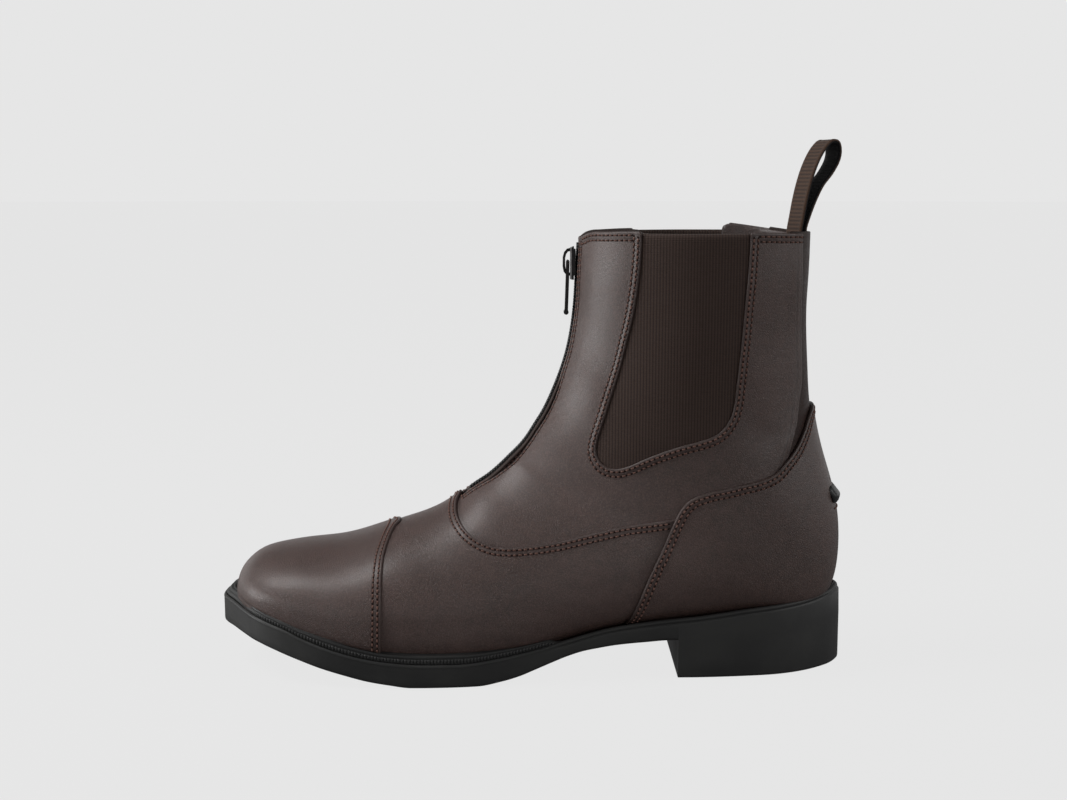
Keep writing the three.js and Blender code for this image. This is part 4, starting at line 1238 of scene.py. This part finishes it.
th = np.linspace(0, np.pi, 330)
stations = (X_TIP + X_HEEL) / 2 - (X_HEEL - X_TIP) / 2 * np.cos(th)
GROOVES = [(-123.5 + 9 * i, -123.5 + 9 * i + 2.4) for i in range(14)] + [(76 + 10.5 * i, 76 + 10.5 * i + 2.4) for i in range(5)]
extra = [x + s for a, b in GROOVES for x, s in ((a, -0.12), (a, 0.12), (b, -0.12), (b, 0.12))]
extra += [BREAST_X - 0.9, BREAST_X - 0.3, BREAST_X - 0.02, BREAST_X + 0.02, BREAST_X + 0.25, BREAST_X + 0.8]
stations = np.unique(np.round(np.concatenate([stations, extra]), 4))
M = len(stations)


def sole():
    x = stations
    loop = np.vstack([np.stack([x, y_side(x, -1)], 1), np.stack([x[-2:0:-1], y_side(x[-2:0:-1], 1)], 1)])
    n = len(loop)
    lx = loop[:, 0]
    zt = rim_top(lx)
    us = underside(np.minimum(lx, BREAST_X))
    heel = lx >= BREAST_X
    zb = np.where(heel, 0.0, us)
    inset_levels = [
        # inset, height: from the top (t) or the bottom (b)
        (4.2, "t", -1.4), (2.9, "t", -1.2), (2.1, "t", -0.85), (1.5, "t", -0.25), (1.0, "t", 0.0), (0.5, "t", -0.12), (0.15, "t", -0.5),
        (0.0, "t", -1.0), (0.05, "t", -1.45), (0.4, "t", -1.85), (0.45, "t", -2.2), (0.2, "t", -2.6), (0.12, "t", -3.1),
        (0.14, "m", 0.33), (0.16, "m", 0.66), (0.18, "b", 1.4), (0.3, "b", 0.7), (0.7, "b", 0.2), (1.3, "b", 0.0),
    ]
    rings = []
    inner_in = {d: inset_points(loop, d) for d in sorted({i[0] for i in inset_levels} | {0.10})}
    lip = smooth(lx, 3.0, 15.0)[:, None]  # the lip and its groove run round waist and heel, not under the welt
    rear = smooth(lx, 121.0, 140.0)
    for d, kind, h in inset_levels:
        p = inner_in[d].copy()
        if kind == "t" and h < -1.2 and d < 1:
            p = p * lip + inner_in[0.10] * (1 - lip)
        if kind == "t" and d < 2:
            p[:, 0] -= 1.7 * rear * max(0.0, 1 + h / 3.7)
        if kind == "t":
            z = zt + h
        elif kind == "b":
            z = zb + h
        else:
            z = (zt - 3.1) + ((zb + 1.4) - (zt - 3.1)) * h
        rings.append(np.column_stack([p, z]))
    V = [np.vstack(rings)]
    R = len(rings)
    F = []
    k = np.arange(n)
    for r in range(R - 1):
        a, b = r * n + k, r * n + (k + 1) % n
        F.append(np.stack([a, a + n, b + n, b], 1))
    # top and bottom covers: rows across the sole, from the last ring on the outer side to that on the inner side
    def cover(ring, height, shares, grooves, flip):
        base = sum(len(p) for p in V)
        outer = rings[ring][:M]
        inner = np.vstack([rings[ring][:1], rings[ring][:M - 1:-1], rings[ring][M - 1:M]])
        inner = np.vstack([rings[ring][0], rings[ring][n - 1:M - 1:-1], rings[ring][M - 1]])
        rows_ = []
        for s in shares:
            p = outer * (1 - s) + inner * s
            z = height(p[:, 0], stations, s)
            rows_.append(np.column_stack([p[:, 0], p[:, 1], z]))
        rows_ = np.stack(rows_, 1)  # stations x shares
        V.append(rows_.reshape(-1, 3))
        c = len(shares)
        i, j = np.meshgrid(np.arange(M - 1), np.arange(c - 1), indexing="ij")
        a = base + i * c + j
        q = np.stack([a, a + c, a + c + 1, a + 1], -1).reshape(-1, 4)
        F.append(q if not flip else q[:, ::-1])

    def low(px, st, s):
        z = np.where(st >= BREAST_X, 0.0, underside(np.minimum(st, BREAST_X)))
        if 0.2 < s < 0.8:
            for a, b in GROOVES:
                wide = np.abs(y_side(st, 1) - y_side(st, -1))
                z = z + 1.5 * ((st > a) & (st < b) & (wide > 26))
        return z

    def high(px, st, s):
        us_ = underside(np.minimum(st, BREAST_X))
        edge_z = rim_top(st) - 1.4
        mid = 0.5 * (us_ + keel(np.clip(st, -132, 131)))
        mid = np.minimum(mid, edge_z - 1.5)
        return edge_z + (mid - edge_z) * (1.0 if 0.005 < s < 0.995 else 0.0)

    s_low = [0, 0.02, 0.08, 0.14, 0.195, 0.205, 0.3, 0.4, 0.5, 0.6, 0.7, 0.795, 0.805, 0.86, 0.92, 0.98, 1]
    s_high = [0, 0.006, 0.1, 0.3, 0.5, 0.7, 0.9, 0.994, 1]
    cover(R - 1, low, s_low, True, True)
    cover(0, high, s_high, False, False)
    return make("sole", np.vstack(V), F, SOLE, replaces="outsole", weld=0.015, sharp=38)


sole()


# ------------------------------------------------------------------ the welt, ribbed at its outer face
def skin_tree(out_of, where=None):
    f = GRID_SKIN
    pts = f.P + f.n * (out_of + unevenness(f.P))[:, None]
    tree = KDTree(len(pts))
    for i, p in enumerate(pts):
        tree.insert(p, i)
    tree.balance()
    return tree, pts, f.n


_out = np.where(GRID_SKIN.get("cap") > 0, CAP_OUT, np.where(GRID_SKIN.get("counter") > 0, COUNTER_OUT, VAMP_OUT))
TREE, TREE_P, TREE_N = skin_tree(_out)


def reach(points, normals, z):
    """How far in from the rim the upper's face lies at height z."""
    out = np.zeros(len(points))
    for i in range(len(points)):
        for d in np.arange(0.2, 7.0, 0.25):
            q = (points[i, 0] + normals[i, 0] * d, points[i, 1] + normals[i, 1] * d, z[i])
            _, k, _ = TREE.find(q)
            if np.dot(np.array(q) - TREE_P[k], TREE_N[k]) < 0:
                break
        out[i] = d
    k = np.ones(9) / 9
    pad = np.concatenate([out[:1].repeat(4), out, out[-1:].repeat(4)])
    return np.convolve(pad, k, "valid")


def welt():
    loop = np.vstack([OUTER[::-1], INNER[1:]])
    loop = loop[(loop[:, 0] <= WELT_END_X)]
    pts, total = resample(loop, 0.219)
    t = np.gradient(pts, axis=0)
    t /= np.linalg.norm(t, axis=1, keepdims=True)
    # from the outer side's end round the toe to the inner side's end, inwards is to the left of travel or right
    n = np.stack([t[:, 1], -t[:, 0]], 1)
    mid = np.array([-40.0, 0.0])
    if np.mean(((mid - pts) * n).sum(1)) < 0:
        n = -n
    x = pts[:, 0]
    s = np.arange(len(pts)) * total / (len(pts) - 1)
    tip = smooth(x, -121.0, -138.0)
    zr, zt = rim_top(x), welt_top(x) - 0.8 * tip
    few = slice(None, None, 24)
    idx = np.arange(len(pts))[few]
    touch = np.interp(np.arange(len(pts)), idx, reach(pts[few], n[few], zt[few]))
    print("welt to upper", touch.min(), touch.max())
    inner = np.clip(touch, 1.9, 7.0)
    rib = (0.5 + 0.5 * np.cos(s / RIB * 2 * np.pi)) ** 0.7
    strong = smooth(x, -134, -112)
    amp = 0.55 * strong
    hgt = zt - zr
    lean = np.minimum(3.4 * tip, np.maximum(inner - 2.6, 0.0))  # round the tip the band leans in
    chan = np.clip(inner - 1.7 - lean, 0.15, 9)
    profile = [
        # inset, height, share of the rib
        (np.full_like(x, 1.9), zr - 0.5, 0.0),
        (np.full_like(x, 1.05), zr + 0.02, 0.0),
        (np.full_like(x, 0.85), zr + 0.22, 0.1),
        (np.full_like(x, 0.55), zr + 0.45, 1.0),
        (np.full_like(x, 0.50), zr + hgt * 0.25, 1.0),
        (np.full_like(x, 0.50), zr + hgt * 0.40, 1.0),
        (np.full_like(x, 0.55), zr + hgt * 0.52, 1.0),
        (np.full_like(x, 0.85), zr + hgt * 0.56, 0.3),
        (np.full_like(x, 1.00), zr + hgt * 0.61, 0.0),
        (np.full_like(x, 0.80), zr + hgt * 0.70, 0.0),
        (np.full_like(x, 0.80), zt - 0.35, 0.0),
        (np.full_like(x, 1.02), zt - 0.08, 0.0),
        (1.30 + chan * 0.10, zt - 0.02, 0.0),
        (1.30 + chan * 0.45, zt - 0.30, 0.0),
        (1.30 + chan * 0.72, zt - 0.30, 0.0),
        (inner - 0.25, zt + 0.22, 0.0),
        (inner + 0.30, zt + 0.42, 0.0),
        (inner + 0.85, zt + 0.10, 0.0),
        (inner + 1.6, zt - 1.0, 0.0),
        (inner + 1.6, zr - 0.5, 0.0),
    ]
    V = []
    A = []
    for k_, (d, z, w) in enumerate(profile):
        share = np.clip((z - zr) / np.maximum(hgt, 0.5), 0, 1) if 0 < k_ < 15 else 0.0 * x
        dd = d + amp * w * (1 - rib) + lean * share + 0.5 * tip * (share > 0)
        V.append(np.column_stack([pts + n * dd[:, None], z]))
        # rib share, 0 deep in a groove: the welt's material paints shade there
        A.append(1 - w * (1 - rib) * strong)
    V, A = np.stack(V, 1), np.stack(A, 1)
    # the ends run out flat on the sole's rim
    fade = smooth(x, WELT_END_X, WELT_END_X - 9.0)
    low = rim_top(x)[:, None] - 0.9
    V[..., 2] = np.where(V[..., 2] > low, low + (V[..., 2] - low) * (0.12 + 0.88 * fade[:, None]), V[..., 2])
    r, c = V.shape[:2]
    i, j = np.meshgrid(np.arange(r - 1), np.arange(c), indexing="ij")
    a, b = i * c + j, i * c + (j + 1) % c
    F = [np.stack([a, b, b + c, a + c], -1).reshape(-1, 4)]
    V = V.reshape(-1, 3)
    centre0, centre1 = V[:c].mean(0), V[-c:].mean(0)
    V = np.vstack([V, centre0, centre1])
    k = np.arange(c)
    F.append(np.stack([np.full(c, r * c), (k + 1) % c, k], 1))
    F.append(np.stack([np.full(c, r * c + 1), (r - 1) * c + k, (r - 1) * c + (k + 1) % c], 1))
    return make("welt_band", V, F, WELT, replaces="welt", weld=0.004,
                attributes={"rib": np.concatenate([A.ravel(), [1.0, 1.0]])})


welt()


# ------------------------------------------------------------------ zip
def ridge(n=2600):
    u = np.linspace(10.7, 24.9, n)
    p, nn = S(u, 0.0 * u), N(u, 0.0 * u)
    nn[:, 1] = 0
    nn /= np.linalg.norm(nn, axis=1, keepdims=True)
    p = p.copy()
    p[:, 1] = 0
    keep = p[:, 2] < 192.3
    p, nn = p[keep], nn[keep]
    s = np.concatenate([[0], np.cumsum(np.linalg.norm(np.diff(p, axis=0), axis=1))])
    return p, nn, s


def zip_tape():
    p, nn, s = ridge()
    d = np.linspace(0, s[-1], 300)
    P = np.stack([np.interp(d, s, p[:, k]) for k in range(3)], 1)
    n_ = np.stack([np.interp(d, s, nn[:, k]) for k in range(3)], 1)
    ys = np.linspace(-6.2, 6.2, 21)
    sec = [(y, -0.45 - 0.010 * y * y) for y in ys] + [(y, -1.35 - 0.010 * y * y) for y in ys[::-1]]
    V = np.stack([P + n_ * h + np.array([0, y, 0]) for y, h in sec], 1)
    r, c = V.shape[:2]
    i, j = np.meshgrid(np.arange(r - 1), np.arange(c), indexing="ij")
    a, b = i * c + j, i * c + (j + 1) % c
    F = [np.stack([a, b, b + c, a + c], -1).reshape(-1, 4)]
    k = np.arange(c)
    V = V.reshape(-1, 3)
    V = np.vstack([V, V[:c].mean(0), V[-c:].mean(0)])
    F.append(np.stack([np.full(c, r * c), (k + 1) % c, k], 1))
    F.append(np.stack([np.full(c, r * c + 1), (r - 1) * c + k, (r - 1) * c + (k + 1) % c], 1))
    return make("zip_tape", V, F, TAPE, replaces="front_zip")


def zip_teeth():
    p, nn, s = ridge()
    V, F = [], []
    count = 0
    # a tooth is a small bent block, wide at the tape and with a round head at the middle
    sec = np.array([[-0.36, -0.6], [0.36, -0.6], [0.40, 0.25], [0.24, 0.55], [-0.24, 0.55], [-0.40, 0.25]])
    ys = np.array([-0.7, -0.35, 0.25, 1.1, 1.9, 2.35])
    size = np.array([0.45, 1.0, 1.0, 0.86, 0.92, 0.55])
    lift = np.array([0.0, 0.10, 0.16, 0.10, 0.0, -0.25])
    for side in (-1, 1):
        start = 3.0 + (0.0 if side < 0 else TOOTH / 2)
        for d in np.arange(start, s[-1] - 1.2, TOOTH):
            P = np.array([np.interp(d, s, p[:, k]) for k in range(3)])
            n_ = np.array([np.interp(d, s, nn[:, k]) for k in range(3)])
            t = np.array([n_[2], 0, -n_[0]])
            block = []
            for y, w, l in zip(ys, size, lift):
                for a, b in sec:
                    block.append(P + t * a * w + n_ * (b * w + 0.12 + l) + np.array([0, side * y, 0]))
            V.append(np.array(block))
            i, j = np.meshgrid(np.arange(len(ys) - 1), np.arange(6), indexing="ij")
            f = np.stack([i * 6 + j, i * 6 + (j + 1) % 6, (i + 1) * 6 + (j + 1) % 6, (i + 1) * 6 + j], -1).reshape(-1, 4)
            e1 = np.array([[3, 2, 1, 0], [5, 4, 3, 0]])
            e2 = np.array([[0, 1, 2, 3], [0, 3, 4, 5]]) + (len(ys) - 1) * 6
            f = np.vstack([f, e1, e2])
            if side < 0:
                f = f[:, ::-1]
            F.append(f + count)
            count += len(block)
    return make("zip_teeth", np.vstack(V), np.vstack(F), TEETH, sharp=55)


zip_tape()
zip_teeth()


# ------------------------------------------------------------------ pull loop
def pull_loop():
    path = catmull(LOOP_PATH, per=14)
    pts, total = resample(path, 0.42)
    t = np.gradient(pts, axis=0)
    t /= np.linalg.norm(t, axis=1, keepdims=True)
    out = np.stack([-t[:, 1], t[:, 0]], 1)  # towards the loop's outside
    s = np.arange(len(pts)) * total / (len(pts) - 1)
    rib = 0.5 + 0.5 * np.cos(s / 1.75 * 2 * np.pi)
    w, h = LOOP_W / 2, LOOP_T / 2
    sec = []  # across, out, face, rib share
    ys = np.linspace(-w + 0.5, w - 0.5, 13)
    for y in ys:
        sel = 0.12 if abs(abs(y) - (w - 1.0)) < 0.6 else 0.0
        sec.append((y, h + sel, 1.0, 1.0 if abs(y) < w - 1.3 else 0.25))
    sec += [(w - 0.15, h * 0.75, 1.0, 0.2), (w, 0.0, 0.55, 0.0), (w - 0.15, -h * 0.75, 0.0, 0.2)]
    for y in ys[::-1]:
        sec.append((y, -h, 0.0, 1.0 if abs(y) < w - 1.3 else 0.25))
    sec += [(-w + 0.15, -h * 0.75, 0.0, 0.2), (-w, 0.0, 0.55, 0.0), (-w + 0.15, h * 0.75, 1.0, 0.2)]
    V, A, B = [], [], []
    for y, o, face, share in sec:
        oo = o - np.sign(o) * 0.17 * share * (1 - rib)
        V.append(np.column_stack([pts[:, 0] + out[:, 0] * oo, np.full(len(pts), y), pts[:, 1] + out[:, 1] * oo]))
        A.append(np.full(len(pts), face))
        B.append(1 - share * (1 - rib))
    V, A, B = np.stack(V, 1), np.stack(A, 1), np.stack(B, 1)
    r, c = V.shape[:2]
    V = V.reshape(-1, 3)
    a = math.radians(LOOP_TURN)
    x, y = V[:, 0] - 117.2, V[:, 1].copy()
    V = np.column_stack([117.2 + x * math.cos(a) - y * math.sin(a), x * math.sin(a) + y * math.cos(a), V[:, 2]])
    i, j = np.meshgrid(np.arange(r - 1), np.arange(c), indexing="ij")
    a, b = i * c + j, i * c + (j + 1) % c
    F = [np.stack([a, a + c, b + c, b], -1).reshape(-1, 4)]
    V = np.vstack([V, V[:c].mean(0), V[-c:].mean(0)])
    k = np.arange(c)
    F.append(np.stack([np.full(c, r * c), k, (k + 1) % c], 1))
    F.append(np.stack([np.full(c, r * c + 1), (r - 1) * c + (k + 1) % c, (r - 1) * c + k], 1))
    A = np.concatenate([A.ravel(), [0.5, 0.5]])
    B = np.concatenate([B.ravel(), [0.5, 0.5]])
    return make("loop_webbing", V, F, WEB, replaces="pull_loop", attributes={"face": A, "rib": B})


pull_loop()


# ------------------------------------------------------------------ spur rest
def spur_rest():
    """A rounded ledge of rubber across the back of the counter."""
    ys = np.linspace(-13.2, 13.2, 61)
    u = np.full_like(ys, 17.3)
    V = []
    for y in ys:
        k = abs(y) / 13.2
        end = math.sqrt(max(0.0, 1 - max(0.0, (k - 0.80) / 0.20) ** 2))
        # the counter's face at this y and each height
        row = []
        prof = [(-0.4, 73.8), (0.5, 74.0), (1.2, 74.7), (1.8, 75.7), (2.25, 76.6), (2.3, 77.2), (2.0, 77.9), (1.5, 78.8), (1.0, 79.9), (0.5, 81.0), (-0.4, 81.8)]
        for o, z in prof:
            uu = np.interp(z, LAST[15:19, 3], [15, 16, 17, 18])
            # find v at the back where the surface has this y
            lo, hi = (0.5, 1.0)
            for _ in range(30):
                mid = (lo + hi) / 2
                yy = S(np.array([uu]), np.array([mid if y >= 0 else -mid]))[0, 1]
                if abs(yy) > abs(y):
                    lo = mid
                else:
                    hi = mid
            vv = hi if y >= 0 else -hi
            P0, n0 = S(np.array([uu]), np.array([vv]))[0], N(np.array([uu]), np.array([vv]))[0]
            zc = 78.0
            row.append(P0 + n0 * (COUNTER_OUT + (o * (0.15 + 0.85 * end) if o > 0 else o)) + np.array([0, 0, (zc - z) * (1 - end) * 0.6]))
        V.append(row)
    V = np.array(V)
    r, c = V.shape[:2]
    V = V.reshape(-1, 3)
    i, j = np.meshgrid(np.arange(r - 1), np.arange(c), indexing="ij")
    a, b = i * c + j, i * c + (j + 1) % c
    F = [np.stack([a, a + c, b + c, b], -1).reshape(-1, 4)]
    V = np.vstack([V, V[:c].mean(0), V[-c:].mean(0)])
    k = np.arange(c)
    F.append(np.stack([np.full(c, r * c), k, (k + 1) % c], 1))
    F.append(np.stack([np.full(c, r * c + 1), (r - 1) * c + (k + 1) % c, (r - 1) * c + k], 1))
    return make("spur_ledge", V, F, SPUR, replaces="spur_rest", weld=0.01)


spur_rest()


# ------------------------------------------------------------------ CAD pieces that stay: insole, slider and pull
def finish_cad(node, material, bevel=0.0, sharp=40):
    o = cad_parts[node]
    o.data.materials.clear()
    o.data.materials.append(material)
    o.data.shade_smooth()
    o.data.set_sharp_from_angle(angle=math.radians(sharp))
    if bevel:
        b = o.modifiers.new("rounded", "BEVEL")
        b.width = bevel / 1000
        b.segments = 3
        b.limit_method = "ANGLE"
        b.angle_limit = math.radians(30)
    return o


FOOTBED = cloth("footbed_look", srgb(38, 32, 30), srgb(58, 50, 46), scale=900, gloss=0.85)
finish_cad("insole", FOOTBED)
finish_cad("zip_slider", METAL, 0.22)
finish_cad("zip_pull", PULL, 0.22)


# ------------------------------------------------------------------ studio
def flat(name, colour, strength):
    """The pale ground: its own even light with a little of what falls on it."""
    m = bpy.data.materials.new(name)
    m.use_nodes = True
    t = m.node_tree
    t.nodes.clear()
    out = t.nodes.new("ShaderNodeOutputMaterial")
    mix = t.nodes.new("ShaderNodeMixShader")
    glow = t.nodes.new("ShaderNodeEmission")
    dull = t.nodes.new("ShaderNodeBsdfDiffuse")
    speck = t.nodes.new("ShaderNodeTexNoise")
    speck.inputs["Scale"].default_value = 3.0
    ramp = t.nodes.new("ShaderNodeMix")
    ramp.data_type = "RGBA"
    ramp.inputs[6].default_value = (*[c * 0.995 for c in colour], 1)
    ramp.inputs[7].default_value = (*colour, 1)
    t.links.new(speck.outputs["Fac"], ramp.inputs[0])
    t.links.new(ramp.outputs[2], glow.inputs["Color"])
    glow.inputs["Strength"].default_value = strength
    t.links.new(ramp.outputs[2], dull.inputs["Color"])
    mix.inputs[0].default_value = 0.03
    t.links.new(glow.outputs[0], mix.inputs[1])
    t.links.new(dull.outputs[0], mix.inputs[2])
    t.links.new(mix.outputs[0], out.inputs[0])
    return m


GREY = srgb(230, 230, 230)
fm = bpy.data.meshes.new("ground")
ang = np.linspace(0, 2 * np.pi, 65)[:-1]
fm.from_pydata([(0, 0, -0.0002)] + [(30 * math.cos(a), 30 * math.sin(a), -0.0002) for a in ang], [], [(0, 1 + i, 1 + (i + 1) % 64) for i in range(64)])
fm.materials.append(flat("ground_look", GREY, 1.012))
ground = bpy.data.objects.new("ground", fm)
bpy.context.scene.collection.objects.link(ground)
ground.visible_diffuse = False
ground.visible_glossy = False

world = bpy.data.worlds.new("studio")
bpy.context.scene.world = world
world.use_nodes = True
# an even pale wall all round at eye height, a dimmer ceiling and a dark floor under the ground's own light
wt = world.node_tree
place = wt.nodes.new("ShaderNodeTexCoord")
part = wt.nodes.new("ShaderNodeSeparateXYZ")
wt.links.new(place.outputs["Generated"], part.inputs[0])


def band(a, b, c, d):
    n = wt.nodes.new("ShaderNodeMapRange")
    n.interpolation_type = "SMOOTHSTEP"
    for i, value in zip((1, 2, 3, 4), (a, b, c, d)):
        n.inputs[i].default_value = value
    wt.links.new(part.outputs["Z"], n.inputs[0])
    return n.outputs[0]


above = band(0.13, 0.36, 1.0, 0.10)
below = band(-0.16, -0.04, 0.14, 1.0)
front = band(0.0, 0.0, 0.0, 0.0)
front_band = front.node
wt.links.new(part.outputs["Y"], front_band.inputs[0])
for i, value in zip((1, 2, 3, 4), (-0.45, 0.05, 0.90, 1.0)):
    front_band.inputs[i].default_value = value
half = wt.nodes.new("ShaderNodeMath")
half.operation = "MULTIPLY"
wt.links.new(above, half.inputs[0])
wt.links.new(front, half.inputs[1])
both = wt.nodes.new("ShaderNodeMath")
both.operation = "MULTIPLY"
wt.links.new(half.outputs[0], both.inputs[0])
wt.links.new(below, both.inputs[1])
wt.nodes["Background"].inputs[0].default_value = (*GREY, 1)
wt.links.new(both.outputs[0], wt.nodes["Background"].inputs[1])


def soft_light(name, place, aim, size, power, colour=(1, 1, 1)):
    data = bpy.data.lights.new(name, "AREA")
    data.shape = "RECTANGLE"
    data.size, data.size_y = size
    data.energy = power
    data.color = colour
    o = bpy.data.objects.new(name, data)
    o.location = place
    o.rotation_euler = (Vector(aim) - Vector(place)).to_track_quat("-Z", "Y").to_euler()
    bpy.context.scene.collection.objects.link(o)
    return o


soft_light("key", (-0.80, -0.10, 1.15), (0.0, 0.0, 0.08), (0.55, 0.55), 11.0)
soft_light("left", (-1.35, -0.12, 0.20), (0.0, 0.0, 0.05), (0.8, 0.45), 9.0)
soft_light("fill", (1.3, -0.55, 0.7), (0.0, 0.0, 0.1), (0.8, 0.8), 6.0)

cam_data = bpy.data.cameras.new("camera")
cam_data.sensor_width = 36.0
cam_data.lens = 36.0 * 1557.0 / 1067.0
cam_data.clip_start, cam_data.clip_end = 0.02, 100
cam = bpy.data.objects.new("camera", cam_data)
cam.location = ((0 + SHIFT[0]) / 1000, (-700 + SHIFT[1]) / 1000, (214.3 + SHIFT[2]) / 1000)
cam.rotation_euler = (math.radians(90 - 7.68), 0, 0)
bpy.context.scene.collection.objects.link(cam)
bpy.context.scene.camera = cam
bpy.context.scene.view_settings.view_transform = "Standard"
bpy.context.scene.view_settings.look = "None"
